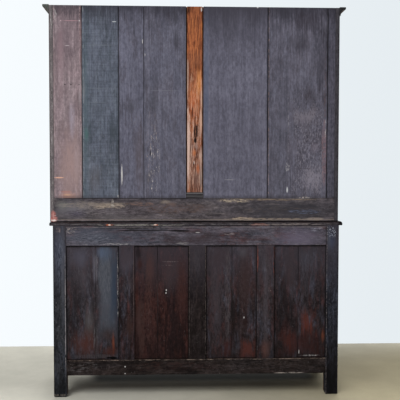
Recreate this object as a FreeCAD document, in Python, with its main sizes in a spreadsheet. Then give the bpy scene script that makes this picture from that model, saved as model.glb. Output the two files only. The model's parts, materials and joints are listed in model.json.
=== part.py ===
import FreeCAD, Part
import math
import operator
import os

import Sketcher

# Pot board dresser: a panelled base with a pot board and three drawers, and a plate rack on top.
# Millimetres. +Z is up, the front faces -Y and the back +Y. The origin is on the floor, below the
# middle of the plate rack and halfway through the depth. Left and right are as seen from the front;
# back boards and back panels are numbered as seen from behind, from +X to -X.

SIZES = {
    # Base as a whole
    "base_width": 1438,
    "base_depth": 460,
    "base_height": 886,
    "base_shift": 9,
    # Base top, two boards with a thumb moulding on the front and the ends
    "top_thickness": 20,
    "top_overhang": 17.5,
    "top_front_overhang": 28,
    "top_front_board": 232,
    "top_round": 12,
    "top_lower_round": 4,
    # Legs, posts and their joints
    "leg_width": 63,
    "post_depth": 52,
    "foot_height": 111,
    "foot_round": 9,
    "tenon_length": 30,
    "tenon_thickness": 9,
    "tenon_shoulder": 10,
    # Turning of the front legs
    "block_above_rail": 50,
    "block_below_apron": 14,
    "ring_height": 14,
    "ring_radius": 27,
    "upper_ring_radius": 22,
    "neck_radius": 16,
    "vase_radius": 25,
    "vase_rise": 92,
    "vase_neck_radius": 14,
    "cove_height": 38,
    "collar_radius": 28,
    "collar_height": 8,
    "turned_foot_height": 84,
    "turned_foot_radius": 20,
    "turned_ankle_radius": 28,
    # Panelled back of the base
    "frame_thickness": 26,
    "back_top_rail": 101,
    "back_bottom_rail": 77,
    "panel_1": 262,
    "panel_2": 273.8,
    "panel_3": 257.7,
    "muntin_1": 78.5,
    "muntin_2": 87,
    "muntin_3": 90,
    "panel_1_seam": -15.3,
    "panel_2_seam": 20.4,
    "panel_3_seam": -3.35,
    "panel_4_seam": 9.9,
    "panel_thickness": 10,
    "panel_recess": 9,
    "panel_tongue": 8,
    "panel_seam": 1,
    "panel_lap": 9,
    # Ends, pot board and apron
    "end_thickness": 18,
    "end_setback": 7,
    "end_tongue": 10,
    "end_arch": 46,
    "end_flat": 34,
    "pot_rail": 77,
    "pot_rail_setback": 5,
    "pot_board": 18,
    "pot_overhang": 8,
    "pot_round": 7,
    "pot_bearer_width": 46,
    "pot_cleat": 24,
    "apron_drop": 86,
    "apron_rise": 50,
    "apron_thickness": 18,
    "apron_setback": 6,
    "apron_tongue": 8,
    "apron_flat": 30,
    "apron_nib": 16,
    # Drawer openings and runners
    "front_rail_depth": 46,
    "front_top_rail": 22,
    "drawer_opening": 132,
    "drawer_rail": 25,
    "divider_width": 28,
    "divider_tenon": 10,
    "divider_tenon_width": 14,
    "divider_tenon_depth": 26,
    "runner_width": 62,
    "runner_ledge": 18,
    "guide_height": 18,
    "bearer_depth": 22,
    "bearer_height": 24,
    # Drawers
    "drawer_gap": 1.5,
    "drawer_running_gap": 0.3,
    "drawer_front": 20,
    "lip": 6,
    "lip_thickness": 6,
    "lip_round": 4.5,
    "lip_gap": 0.3,
    "drawer_side": 11,
    "drawer_side_height": 112,
    "drawer_back_room": 12,
    "drawer_bottom": 8,
    "drawer_bottom_rise": 9,
    "drawer_groove": 6,
    "dovetail_length": 13,
    "dovetail_root": 16,
    "dovetail_flare": 4,
    # Brass handles
    "handle_rise": 10,
    "handle_pitch": 84,
    "plate_reach": 14,
    "plate_shoulder": 30,
    "plate_shoulder_height": 13,
    "plate_peak": 19,
    "plate_thickness": 1.6,
    "handle_post_radius": 5.2,
    "handle_post_length": 17,
    "pivot_stand": 13,
    "bail_radius": 2.4,
    "bail_clearance": 0.08,
    "bail_gap": 0.6,
    "bail_drop": 28,
    "bail_corner": 15,
    # Plate rack
    "rack_extra_width": 7,
    "rack_depth": 190,
    "rack_height": 1069,
    "rack_side": 19.5,
    "rack_top_board": 16,
    "rack_rail": 117,
    "rack_rail_thickness": 20,
    "rack_waist_depth": 118,
    "rack_foot_height": 34,
    "rack_waist_height": 150,
    "rack_shoulder_height": 236,
    "shelf_1_height": 270,
    "shelf_2_height": 515,
    "shelf_3_height": 760,
    "shelf_thickness": 18,
    "shelf_depth": 158,
    "shelf_housing": 6,
    "plate_groove": 9,
    "plate_groove_inset": 48,
    "frieze_height": 112,
    "frieze_thickness": 16,
    "frieze_flat": 46,
    "cornice_height": 42.5,
    "cornice_projection": 31,
    "cornice_rise": 4,
    "cornice_bead": 5,
    "cornice_fascia": 11,
    "cornice_step": 3,
    # Plank back of the rack
    "back_board": 12,
    "board_seam": 1,
    "board_lap": 10,
    "board_1": 141.6,
    "board_2": 180.9,
    "board_3": 124.2,
    "board_4": 209.9,
    "board_6": 300.4,
    "board_7": 40,
    "post_gap": 6,
    "centre_post": 74.9,
    "centre_post_recess": 2,
    "post_flange": 20,
    "post_flange_thickness": 12,
    "packing_block": 30,
}
SCALLOPS = 7
FACETS = 8
DOVETAILS = 3
POT_BOARDS = 3
SHEET = "Sizes"
TO_FRONT = FreeCAD.Rotation(FreeCAD.Vector(1, 0, 0), 90)
TO_RIGHT = FreeCAD.Rotation(FreeCAD.Vector(0, 1, 0), 90)
OPERATIONS = {"+": operator.add, "-": operator.sub, "*": operator.mul, "/": operator.truediv}

doc = FreeCAD.newDocument("pot_board_dresser")
nodes = []


class Formula:
    """A length written once: its expression on the sheet together with its present value."""

    def __init__(self, text, value):
        self.text = text
        self.value = value

    def join(self, sign, other, swapped=False):
        pair = (formula(other), self) if swapped else (self, formula(other))
        text = f"({pair[0].text} {sign} {pair[1].text})"
        return Formula(text, OPERATIONS[sign](pair[0].value, pair[1].value))

    def __add__(self, other):
        return self.join("+", other)

    def __radd__(self, other):
        return self.join("+", other, swapped=True)

    def __sub__(self, other):
        return self.join("-", other)

    def __rsub__(self, other):
        return self.join("-", other, swapped=True)

    def __mul__(self, other):
        return self.join("*", other)

    def __rmul__(self, other):
        return self.join("*", other, swapped=True)

    def __truediv__(self, other):
        return self.join("/", other)

    def __neg__(self):
        return 0 - self


class Sizes:
    """The driving dimensions, kept on the sheet and read by name."""

    def __init__(self, table):
        self.table = table
        sheet = doc.addObject("Spreadsheet::Sheet", SHEET)
        for row, (alias, value) in enumerate(table.items(), 1):
            sheet.set(f"A{row}", alias)
            sheet.set(f"B{row}", str(value))
            sheet.setAlias(f"B{row}", alias)
        doc.recompute()

    def __getattr__(self, alias):
        return Formula(f"{SHEET}.{alias}", float(self.table[alias]))


def formula(value):
    """A plain number as a formula; a formula stays as it is."""
    return value if isinstance(value, Formula) else Formula(repr(float(value)), float(value))


def bind(item, path, value):
    """Tie a property of a document object to a formula."""
    item.setExpression(path, formula(value).text)


def put(item, x=0, y=0, z=0):
    """Tie an object's place to three formulas."""
    for axis, value in zip("xyz", (x, y, z)):
        bind(item, f"Placement.Base.{axis}", value)


def node(piece):
    """Keep a finished piece for export under its own label."""
    nodes.append(piece)
    return piece


def box(name, x, y, z):
    """A straight board between a low and a high place on each axis."""
    piece = doc.addObject("Part::Box", name)
    for path, (low, high) in zip(("Length", "Width", "Height"), (x, y, z)):
        bind(piece, path, high - low)
    put(piece, x[0], y[0], z[0])
    return piece


def prism(name, radius, height, rotation):
    """A faceted peg or bore whose corners lie on a circle."""
    piece = doc.addObject("Part::Prism", name)
    piece.Polygon = FACETS
    bind(piece, "Circumradius", radius)
    bind(piece, "Height", height)
    piece.Placement.Rotation = rotation
    return piece


def fuse(name, *pieces):
    piece = doc.addObject("Part::MultiFuse", name)
    piece.Shapes = list(pieces)
    return piece


def cut(name, base, *mates):
    """A piece with the housings, grooves and mortises that its mates need."""
    piece = doc.addObject("Part::Cut", name)
    piece.Base = base
    piece.Tool = mates[0] if len(mates) == 1 else fuse(f"{name}_mates", *mates)
    return piece


def group(name, *pieces):
    """Separate solids that share one node."""
    piece = doc.addObject("Part::Compound", name)
    piece.Links = list(pieces)
    return piece


def middle(span):
    return (span[0] + span[1]) / 2


def around(centre, width):
    return (centre - width / 2, centre + width / 2)


def inset(span, amount):
    return (span[0] + amount, span[1] - amount)


def tenoned(name, x, y, z, along, thin):
    """A rail with a tenon on both ends: it runs along one axis and its tenons are thin on another."""
    spans = {"x": x, "y": y, "z": z}
    tenon = {}
    for axis, span in spans.items():
        if axis == along:
            tenon[axis] = inset(span, -size.tenon_length)
        elif axis == thin:
            tenon[axis] = around(middle(span), size.tenon_thickness)
        else:
            tenon[axis] = inset(span, size.tenon_shoulder)
    return fuse(name, box(f"{name}_rail", x, y, z), box(f"{name}_tenon", **tenon))


def lapped(name, x, y, z, lap, seam, low=True, high=True):
    """A board half-lapped with its neighbours: its inner half steps under the one on its low side."""
    step = middle(y)
    outer_x = (x[0] + seam if low else x[0], x[1])
    inner_x = (x[0] - lap if low else x[0], x[1] - lap - seam if high else x[1])
    outer = box(f"{name}_outer", outer_x, (step, y[1]), z)
    inner = box(f"{name}_inner", inner_x, (y[0], step), z)
    return fuse(name, outer, inner)


def arc_middle(start, finish, bulge):
    """The middle of an arc; its bulge is twice its height over its chord, positive to the right."""
    chord = finish - start
    return (start + finish) * 0.5 + FreeCAD.Vector(chord.y, -chord.x, 0) * (bulge / 2)


def draw(body, name, plane, corners, closed=True):
    """A sketch through corners (across, up, bulge of the edge that follows), all tied to the sheet."""
    sketch = body.newObject("Sketcher::SketchObject", name)
    base = next(item for item in body.Origin.OriginFeatures if item.Role == plane)
    sketch.AttachmentSupport = (base, [""])
    sketch.MapMode = "FlatFace"
    spots = [(formula(corner[0]), formula(corner[1])) for corner in corners]
    places = [FreeCAD.Vector(across.value, up.value, 0) for across, up in spots]
    count = len(corners) if closed else len(corners) - 1
    ends = []
    for index in range(count):
        following = (index + 1) % len(corners)
        bulge = corners[index][2] if len(corners[index]) > 2 else 0
        start, finish = places[index], places[following]
        if bulge:
            edge = Part.Arc(start, arc_middle(start, finish, bulge), finish)
        else:
            edge = Part.LineSegment(start, finish)
        sketch.addGeometry(edge, False)
        ends.append((2, 1) if bulge < 0 else (1, 2))
        if bulge:
            across = spots[following][0] - spots[index][0]
            up = spots[following][1] - spots[index][1]
            share = (1 + bulge * bulge) / (4 * abs(bulge))
            rounded = Sketcher.Constraint("Radius", index, start.distanceToPoint(finish) * share)
            place = f"Constraints[{sketch.addConstraint(rounded)}]"
            sketch.setExpression(place, f"sqrt({across.text}^2 + {up.text}^2) * {share!r}")
    for index in range(count if closed else count - 1):
        following = (index + 1) % count
        joint = Sketcher.Constraint("Coincident", index, ends[index][1], following, ends[following][0])
        sketch.addConstraint(joint)
    for index, spot in enumerate(spots):
        edge, point = (index, ends[index][0]) if index < count else (count - 1, ends[count - 1][1])
        for kind, value in zip(("DistanceX", "DistanceY"), spot):
            place = sketch.addConstraint(Sketcher.Constraint(kind, -1, 1, edge, point, value.value))
            bind(sketch, f"Constraints[{place}]", value)
    return sketch


def pad(body, name, sketch, thickness):
    feature = body.newObject("PartDesign::Pad", name)
    feature.Profile = sketch
    bind(feature, "Length", thickness)
    return feature


def shaped(name, plane, corners, thickness):
    """A board sawn to an outline; its thickness runs along the plane's normal."""
    body = doc.addObject("PartDesign::Body", name)
    pad(body, f"{name}_board", draw(body, f"{name}_outline", plane, corners), thickness)
    return body


def turn(body, name, outline):
    """Cut a round stretch on a square blank; the outline gives radius and height."""
    groove = body.newObject("PartDesign::Groove", name)
    groove.Profile = draw(body, f"{name}_outline", "XZ_Plane", outline)
    groove.ReferenceAxis = (groove.Profile[0], ["V_Axis"])
    groove.Angle = 360


def soften(body, name, radius, wanted):
    """Round the edges of a body that pass a test."""
    body.recompute(True)
    base = body.Tip
    bounds = base.Shape.BoundBox
    edges = [f"Edge{n}" for n, edge in enumerate(base.Shape.Edges, 1) if wanted(edge, bounds)]
    fillet = body.newObject("PartDesign::Fillet", name)
    fillet.Base = (base, edges)
    bind(fillet, "Radius", radius)


def near(one, other):
    return abs(one - other) < 1e-4


def rectangle(x, y):
    return [(x[0], y[0]), (x[1], y[0]), (x[1], y[1]), (x[0], y[1])]


size = Sizes(SIZES)

# Planes and lines that several pieces share
rear = size.base_depth / 2
base_x = -size.base_shift
half_base = size.base_width / 2
leg_front = -rear + size.top_front_overhang
frame_top = size.base_height - size.top_thickness
frame_y = (rear - size.frame_thickness, rear)
back_rail_low = (size.foot_height, size.foot_height + size.back_bottom_rail)
back_rail_high = (frame_top - size.back_top_rail, frame_top)
bay_x = inset((base_x - half_base, base_x + half_base), size.leg_width)
bay_width = size.base_width - 2 * size.leg_width
drawer_z = (frame_top - size.front_top_rail - size.drawer_opening, frame_top - size.front_top_rail)
rail_z = (drawer_z[0] - size.drawer_rail, drawer_z[0])
top_rail_z = (drawer_z[1], frame_top)
front_rail_y = (leg_front, leg_front + size.front_rail_depth)
apron_low = rail_z[0] - size.apron_drop
pot_top = back_rail_low[1] + size.pot_board
drawer_width = (bay_width - 2 * size.divider_width) / 3
drawer_pitch = drawer_width + size.divider_width
leg_rear = leg_front + size.leg_width
post_front = rear - size.post_depth
SIDES = {"left": -1, "right": 1}
DRAWERS = {"left": -1, "middle": 0, "right": 1}


def turned_profile(low, high, outside):
    """The turned stretch between two blocks, from below: ring, vase, ring, cove and collar."""
    vase_foot = (size.neck_radius, low + size.ring_height)
    belly = (size.vase_radius, vase_foot[1] + size.vase_rise)
    collar = (size.collar_radius, high - size.collar_height)
    cove_foot = (size.vase_neck_radius, collar[1] - size.cove_height)
    ring_foot = cove_foot[1] - size.ring_height
    return [
        (outside, low),
        (size.ring_radius, low),
        (size.ring_radius, vase_foot[1]),
        vase_foot,
        belly,
        (size.vase_neck_radius, ring_foot),
        (size.upper_ring_radius, ring_foot),
        (size.upper_ring_radius, cove_foot[1]),
        cove_foot,
        collar,
        (size.collar_radius, high),
        (outside, high),
    ]


def square_blank(name, width, height):
    body = doc.addObject("PartDesign::Body", name)
    outline = draw(body, f"{name}_square", "XY_Plane", rectangle(around(0, width), around(0, width)))
    pad(body, f"{name}_blank", outline, height)
    return body


def front_leg(side, sign):
    """A front leg: square at the drawers and the pot board, turned between and at the foot."""
    body = square_blank(f"front_leg_{side}_turned", size.leg_width, frame_top)
    low = back_rail_low[1] + size.block_above_rail
    high = apron_low - size.block_below_apron
    turn(body, f"front_leg_{side}_vase", turned_profile(low, high, size.leg_width))
    foot = [
        (size.leg_width, 0),
        (size.turned_foot_radius, 0),
        (size.turned_ankle_radius, size.turned_foot_height),
        (size.leg_width, size.turned_foot_height),
    ]
    turn(body, f"front_leg_{side}_foot", foot)
    put(body, leg_place(sign), leg_front + size.leg_width / 2)
    return body


def rear_post(side, sign):
    """A rear post, square down to the floor, with its foot worn round."""
    body = doc.addObject("PartDesign::Body", f"rear_post_{side}_blank")
    outline = rectangle(around(0, size.leg_width), around(0, size.post_depth))
    sketch = draw(body, f"rear_post_{side}_section", "XY_Plane", outline)
    pad(body, f"rear_post_{side}_length", sketch, frame_top)
    soften(body, f"rear_post_{side}_worn_foot", size.foot_round, lambda edge, _: near(edge.BoundBox.ZMax, 0))
    put(body, leg_place(sign), rear - size.post_depth / 2)
    return body


def panel_spans():
    """The visible width of each back panel and of each muntin, from +X to -X."""
    panels, muntins = [], []
    edge = bay_x[1]
    for number in (1, 2, 3):
        width = getattr(size, f"panel_{number}")
        panels.append((edge - width, edge))
        edge = edge - width
        width = getattr(size, f"muntin_{number}")
        muntins.append((edge - width, edge))
        edge = edge - width
    panels.append((bay_x[0], edge))
    return panels, muntins


def back_panel(number, span):
    """A back panel of two boards, tongued into its frame all round."""
    y = around(rear - size.panel_recess - size.panel_thickness / 2, size.panel_thickness)
    z = inset((back_rail_low[1], back_rail_high[0]), -size.panel_tongue)
    seam = middle(span) + getattr(size, f"panel_{number}_seam")
    name = f"back_panel_{number}"
    x = inset(span, -size.panel_tongue)
    joint = (size.panel_lap, size.panel_seam)
    first = lapped(f"{name}_first", (seam, x[1]), y, z, *joint, high=False)
    second = lapped(f"{name}_second", (x[0], seam), y, z, *joint, low=False)
    return group(name, first, second)


def end_board(side, sign):
    """A board that closes the drawers' end, housed in leg and post, with an arched lower edge."""
    low, high = apron_low, frame_top
    front, back = leg_rear - size.end_tongue, post_front + size.end_tongue
    crown = low + size.end_arch
    outline = [
        (front, low),
        (leg_rear + size.end_flat, low, -0.4),
        (middle((leg_rear, post_front)), crown, -0.4),
        (post_front - size.end_flat, low),
        (back, low),
        (back, high),
        (front, high),
    ]
    body = shaped(f"end_board_{side}", "YZ_Plane", outline, size.end_thickness)
    centre = base_x + sign * (half_base - size.end_setback - size.end_thickness / 2)
    put(body, centre - size.end_thickness / 2)
    return body


def apron():
    """The shaped apron below the drawer rail: one cyma arch under each drawer, flats between."""
    low, rise = -size.apron_drop, -size.apron_drop + size.apron_rise
    half = bay_width / 2
    end = half + size.apron_tongue
    reach = drawer_width / 2 - size.apron_flat
    bend_x = middle((reach, size.apron_nib))
    bend_z = middle((low, rise))
    outline = [(end, 0), (-end, 0), (-end, low)]
    for sign in DRAWERS.values():
        centre = sign * drawer_pitch
        outline += [
            (centre - reach, low, -0.35),
            (centre - bend_x, bend_z, 0.35),
            (centre - size.apron_nib, rise),
            (centre + size.apron_nib, rise, 0.35),
            (centre + bend_x, bend_z, -0.35),
            (centre + reach, low),
        ]
    outline.append((end, low))
    body = shaped("front_apron", "XZ_Plane", outline, size.apron_thickness)
    put(body, base_x, leg_front + size.apron_setback + size.apron_thickness, rail_z[0])
    return node(body)


def base_top_board(name, y, moulded_front):
    """One of the two boards of the base top, with a thumb moulding where its edge shows."""
    x = around(0, size.base_width + 2 * size.top_overhang)
    body = shaped(name, "XY_Plane", rectangle(x, y), size.top_thickness)

    def outer(edge, bounds):
        reach = edge.BoundBox
        at_end = near(reach.XMin, bounds.XMax) or near(reach.XMax, bounds.XMin)
        at_front = moulded_front and near(reach.YMax, bounds.YMin)
        return at_end or at_front

    def outer_upper(edge, bounds):
        return outer(edge, bounds) and near(edge.BoundBox.ZMin, bounds.ZMax)

    def outer_lower(edge, bounds):
        return outer(edge, bounds) and near(edge.BoundBox.ZMax, bounds.ZMin)

    soften(body, f"{name}_thumb", size.top_round, outer_upper)
    soften(body, f"{name}_lower", size.top_lower_round, outer_lower)
    put(body, base_x, 0, frame_top)
    return node(body)


def base_back():
    """The panelled back: rails, muntins and panels; gives the pieces that enter the posts."""
    panels, muntins = panel_spans()
    boards = [back_panel(number, span) for number, span in enumerate(panels, 1)]
    uprights = []
    for number, span in enumerate(muntins, 1):
        z = (back_rail_low[1], back_rail_high[0])
        uprights.append(tenoned(f"back_muntin_{number}_blank", span, frame_y, z, along="z", thin="y"))
    top_rail = tenoned("back_top_rail_blank", bay_x, frame_y, back_rail_high, along="x", thin="y")
    low_rail = tenoned("back_bottom_rail_blank", bay_x, frame_y, back_rail_low, along="x", thin="y")
    for board in boards:
        node(board)
    node(cut("back_top_rail", top_rail, *boards, *uprights))
    node(cut("back_bottom_rail", low_rail, *boards, *uprights))
    for number, upright in enumerate(uprights, 1):
        node(cut(f"back_muntin_{number}", upright, *boards[number - 1:number + 1]))
    return [top_rail, low_rail, *boards]


def drawer_frame():
    """Rails and dividers round the drawers; gives the pieces that enter the legs."""
    top_rail = tenoned("front_top_rail_blank", bay_x, front_rail_y, top_rail_z, along="x", thin="z")
    low_rail = tenoned("front_drawer_rail_blank", bay_x, front_rail_y, rail_z, along="x", thin="z")
    dividers = []
    for side, sign in SIDES.items():
        name = f"drawer_divider_{side}"
        x = base_x + sign * drawer_pitch / 2
        upright = box(f"{name}_upright", around(x, size.divider_width), front_rail_y, drawer_z)
        tenon_x = around(x, size.divider_tenon_width)
        tenon_y = around(middle(front_rail_y), size.divider_tenon_depth)
        tenon = box(f"{name}_tenon", tenon_x, tenon_y, inset(drawer_z, -size.divider_tenon))
        dividers.append(node(fuse(name, upright, tenon)))
    node(cut("front_top_rail", top_rail, *dividers))
    node(cut("front_drawer_rail", low_rail, *dividers))
    return top_rail, low_rail


def pot_rails():
    """Rails under the pot board: front and ends tenoned, a cleat along the back, a bearer between."""
    front_y = around(leg_front + size.pot_rail_setback + size.frame_thickness / 2, size.frame_thickness)
    z = (back_rail_low[1] - size.pot_rail, back_rail_low[1])
    front = tenoned("pot_rail_front", bay_x, front_y, z, along="x", thin="y")
    ends = []
    for side, sign in SIDES.items():
        centre = base_x + sign * (half_base - size.pot_rail_setback - size.frame_thickness / 2)
        x = around(centre, size.frame_thickness)
        ends.append(tenoned(f"pot_rail_{side}", x, (leg_rear, post_front), z, along="y", thin="x"))
    cleat_z = (z[1] - size.pot_cleat, z[1])
    cleat = box("pot_cleat_rear", bay_x, (frame_y[0] - size.pot_cleat, frame_y[0]), cleat_z)
    bearer_y = (front_y[1], frame_y[0] - size.pot_cleat)
    bearer = box("pot_bearer", around(base_x, size.pot_bearer_width), bearer_y, cleat_z)
    node(group("pot_board_rails", front, *ends, cleat, bearer))
    return front, ends


def pot_boards(obstacles):
    """The pot board: boards laid lengthwise, notched round legs and posts, the front one rounded."""
    low = leg_front - size.pot_overhang
    width = (frame_y[0] - low) / POT_BOARDS
    reach = half_base - size.pot_rail_setback

    def front_edge(edge, bounds):
        return near(edge.BoundBox.YMax, bounds.YMin) and near(edge.BoundBox.ZMin, bounds.ZMax)

    boards = []
    for number in range(POT_BOARDS):
        outline = rectangle(around(0, 2 * reach), (low + number * width, low + (number + 1) * width))
        body = shaped(f"pot_board_{number}_blank", "XY_Plane", outline, size.pot_board)
        if number == 0:
            soften(body, "pot_board_nosing", size.pot_round, front_edge)
        put(body, base_x, 0, back_rail_low[1])
        boards.append(cut(f"pot_board_{number}", body, *obstacles))
    node(group("pot_boards", *boards))


def runner(name, shelf_x, guide_x):
    """A drawer runner between the drawer rail and the back, with a guide on top."""
    y = (front_rail_y[1], frame_y[0])
    shelf = box(f"{name}_shelf", shelf_x, y, rail_z)
    guide = box(f"{name}_guide", guide_x, y, (rail_z[1], rail_z[1] + size.guide_height))
    return fuse(name, shelf, guide)


def drawer_bearers(rooms):
    """Four runners with guides, and the bearer along the back that carries their rear ends."""
    outer = half_base - size.end_setback - size.end_thickness
    inner = half_base - size.leg_width
    pieces = []
    for side, sign in SIDES.items():
        x = base_x + sign * drawer_pitch / 2
        inner_x = around(x, size.runner_width)
        pieces.append(runner(f"runner_inner_{side}", inner_x, around(x, size.divider_width)))
        shelf_x = ordered(base_x + sign * outer, base_x + sign * (inner - size.runner_ledge))
        guide_x = ordered(base_x + sign * outer, base_x + sign * inner)
        blank = runner(f"runner_outer_{side}_blank", shelf_x, guide_x)
        pieces.append(cut(f"runner_outer_{side}", blank, *rooms[side]))
    bearer_z = (rail_z[0] - size.bearer_height, rail_z[0])
    pieces.append(box("runner_bearer", bay_x, (frame_y[0] - size.bearer_depth, frame_y[0]), bearer_z))
    node(group("drawer_bearers", *pieces))


def ordered(one, other):
    return (one, other) if one.value < other.value else (other, one)


def leg_place(sign):
    return base_x + sign * (half_base - size.leg_width / 2)


def leg_blocks(side, sign):
    """The square room that a front leg and a rear post take up."""
    x = around(leg_place(sign), size.leg_width)
    front = box(f"front_leg_{side}_room", x, (leg_front, leg_rear), (0, frame_top))
    back = box(f"rear_post_{side}_room", x, (post_front, rear), (0, frame_top))
    return [front, back]


def base():
    """Every fixed piece of the base."""
    back_mates = base_back()
    top_rail, low_rail = drawer_frame()
    pot_front, pot_ends = pot_rails()
    front_mates = [top_rail, low_rail, pot_front, apron()]
    rooms = {}
    for (side, sign), pot_end in zip(SIDES.items(), pot_ends):
        end = node(end_board(side, sign))
        node(cut(f"front_leg_{side}", front_leg(side, sign), *front_mates, pot_end, end))
        node(cut(f"rear_post_{side}", rear_post(side, sign), *back_mates, pot_end, end))
        rooms[side] = leg_blocks(side, sign)
    pot_boards([*rooms["left"], *rooms["right"]])
    drawer_bearers(rooms)
    seam = -rear + size.top_front_board
    base_top_board("base_top_front_board", (-rear, seam), moulded_front=True)
    base_top_board("base_top_rear_board", (seam, rear), moulded_front=False)


def drawer(name, sign):
    """One drawer: a lipped front, a dovetailed box and a brass handle."""
    x = base_x + sign * drawer_pitch
    half = drawer_width / 2 - size.drawer_gap
    low = drawer_z[0] + size.drawer_running_gap
    lip_y = leg_front - size.lip_gap
    front_y = (lip_y, leg_front + size.drawer_front)
    back = frame_y[0] - size.drawer_back_room
    side_z = (low, low + size.drawer_side_height)
    bottom_z = (low + size.drawer_bottom_rise, low + size.drawer_bottom_rise + size.drawer_bottom)
    inner = half - size.drawer_side
    bottom_x = (x - inner - size.drawer_groove, x + inner + size.drawer_groove)
    bottom_y = (front_y[1] - size.drawer_groove, back)
    bottom = box(f"drawer_{name}_bottom", bottom_x, bottom_y, bottom_z)
    back_y = (back - size.drawer_side, back)
    rear_board = box(f"drawer_{name}_back", (x - inner, x + inner), back_y, (bottom_z[1], side_z[1]))
    sides = []
    for side, hand in SIDES.items():
        outline = dovetailed_outline(front_y[1], back, side_z)
        board = shaped(f"drawer_{name}_side_{side}", "YZ_Plane", outline, size.drawer_side)
        put(board, x + hand * (inner + size.drawer_side / 2) - size.drawer_side / 2)
        sides.append(board)
    grooved = [cut(f"{board.Name}_grooved", board, bottom) for board in sides]
    node(group(f"drawer_{name}_box", *grooved, rear_board, bottom))
    front = drawer_front(f"drawer_{name}_front", x, half, front_y)
    node(cut(f"drawer_{name}_front", front, bottom, *sides))
    drawer_handle(name, x, lip_y - size.lip_thickness)


def dovetailed_outline(front, back, z):
    """A drawer side seen from its end: its front end carries the tails that the front holds."""
    pitch = (z[1] - z[0]) / DOVETAILS
    tip = front - size.dovetail_length
    tails = []
    for number in range(DOVETAILS):
        centre = z[0] + pitch * (number + 0.5)
        root = size.dovetail_root / 2
        flared = root + size.dovetail_flare
        tails += [(front, centre - root), (tip, centre - flared)]
        tails += [(tip, centre + flared), (front, centre + root)]
    return [(back, z[1]), (back, z[0]), (front, z[0]), *tails, (front, z[1])]


def drawer_front(name, x, half, y):
    """The front: a slab that fills the opening and a thumb-moulded lip that laps the frame."""
    gap = size.drawer_gap
    slab_z = inset(drawer_z, gap)
    slab = box(f"{name}_slab", (x - half, x + half), y, slab_z)
    reach = half + gap + size.lip
    lip_z = inset(drawer_z, -size.lip)
    outline = rectangle((-reach, reach), lip_z)
    lip = shaped(f"{name}_lip", "XZ_Plane", outline, size.lip_thickness)

    def face_edge(edge, bounds):
        return near(edge.BoundBox.YMax, bounds.YMin)

    soften(lip, f"{name}_thumb", size.lip_round, face_edge)
    put(lip, x, y[0])
    return fuse(f"{name}_blank", slab, lip)


def drawer_handle(name, x, face):
    """A handle: a cast plate, two posts and a bail that swings in them."""
    z = middle(drawer_z) + size.handle_rise
    plate = handle_plate(f"drawer_{name}_plate")
    put(plate, x, face, z)
    mounts = [plate]
    for side, sign in SIDES.items():
        post = handle_post(f"drawer_{name}_post_{side}", x + sign * size.handle_pitch / 2, face, z)
        mounts.append(post)
    node(group(f"drawer_{name}_handle_mount", *mounts))
    bail(f"drawer_{name}_bail", x, face - size.pivot_stand, z)


def handle_plate(name):
    """A cast back plate: a peak above and below, hollow shoulders and pointed ends."""
    end = size.handle_pitch / 2 + size.plate_reach
    shoulder, height = size.plate_shoulder, size.plate_shoulder_height
    hollow = -0.3
    outline = [
        (end, 0),
        (shoulder, height, hollow),
        (0, size.plate_peak, hollow),
        (-shoulder, height),
        (-end, 0),
        (-shoulder, -height, hollow),
        (0, -size.plate_peak, hollow),
        (shoulder, -height),
    ]
    return shaped(name, "XZ_Plane", outline, size.plate_thickness)


def handle_post(name, x, face, z):
    """A post that stands on the plate and is broached for the end of the bail."""
    post = prism(name, size.handle_post_radius, size.handle_post_length, TO_FRONT)
    put(post, x, face - size.plate_thickness, z)
    flat = math.cos(math.pi / FACETS)
    reach = 2 * size.handle_post_radius
    bore = prism(f"{name}_bore", (size.bail_radius + size.bail_clearance) / flat, 2 * reach, TO_RIGHT)
    put(bore, x - reach, face - size.pivot_stand, z)
    return cut(f"{name}_bored", post, bore)


def bail_edge(sign, reach, drop, corner):
    """The outer or the inner edge of the bail, from its top on one side round to the other."""
    quarter = sign * (2 ** 0.5 - 1)
    top = size.bail_radius
    return [
        (-sign * reach, top),
        (-sign * reach, corner - drop, quarter),
        (sign * (corner - reach), -drop),
        (sign * (reach - corner), -drop, quarter),
        (sign * reach, corner - drop),
        (sign * reach, top),
    ]


def bail(name, x, y, z):
    """A bail: a forged loop that hangs from two pins, each in the bore of a post."""
    bar = 2 * size.bail_radius
    reach = size.handle_pitch / 2 + size.handle_post_radius + size.bail_gap
    outer = bail_edge(1, reach + bar, size.bail_drop + bar, size.bail_corner + bar)
    inner = bail_edge(-1, reach, size.bail_drop, size.bail_corner)
    loop = shaped(f"{name}_loop", "XZ_Plane", [*outer, *inner], bar)
    put(loop, x, y + size.bail_radius, z)
    pins = []
    for side, sign in SIDES.items():
        pin_x = ordered(x + sign * size.handle_pitch / 2, x + sign * (reach + size.bail_radius))
        pin = prism(f"{name}_pin_{side}", size.bail_radius, pin_x[1] - pin_x[0], TO_RIGHT)
        put(pin, pin_x[0], y, z)
        pins.append(pin)
    return node(fuse(name, loop, *pins))


# Planes of the plate rack
rack_low = size.base_height
rack_high = rack_low + size.rack_height
rack_front = rear - size.rack_depth
rack_width = size.base_width + size.rack_extra_width
half_rack = rack_width / 2
rack_x = inset((-half_rack, half_rack), size.rack_side)
board_y = (rear - size.back_board, rear)
boards_low = rack_low + size.rack_rail


def shelf(name, height):
    """A plate shelf: rounded front edge, a groove for the plates' rims, ends housed in the sides."""
    depth = size.shelf_depth
    groove = depth - size.plate_groove_inset
    outline = [
        (0, 0),
        (depth, 0),
        (depth, size.shelf_thickness),
        (groove + size.plate_groove, size.shelf_thickness, -0.55),
        (groove, size.shelf_thickness),
        (0, size.shelf_thickness, 0.5),
    ]
    length = rack_x[1] - rack_x[0] + 2 * size.shelf_housing
    body = shaped(name, "YZ_Plane", outline, length)
    put(body, rack_x[0] - size.shelf_housing, board_y[0] - depth, rack_low + height - size.shelf_thickness)
    return body


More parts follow.
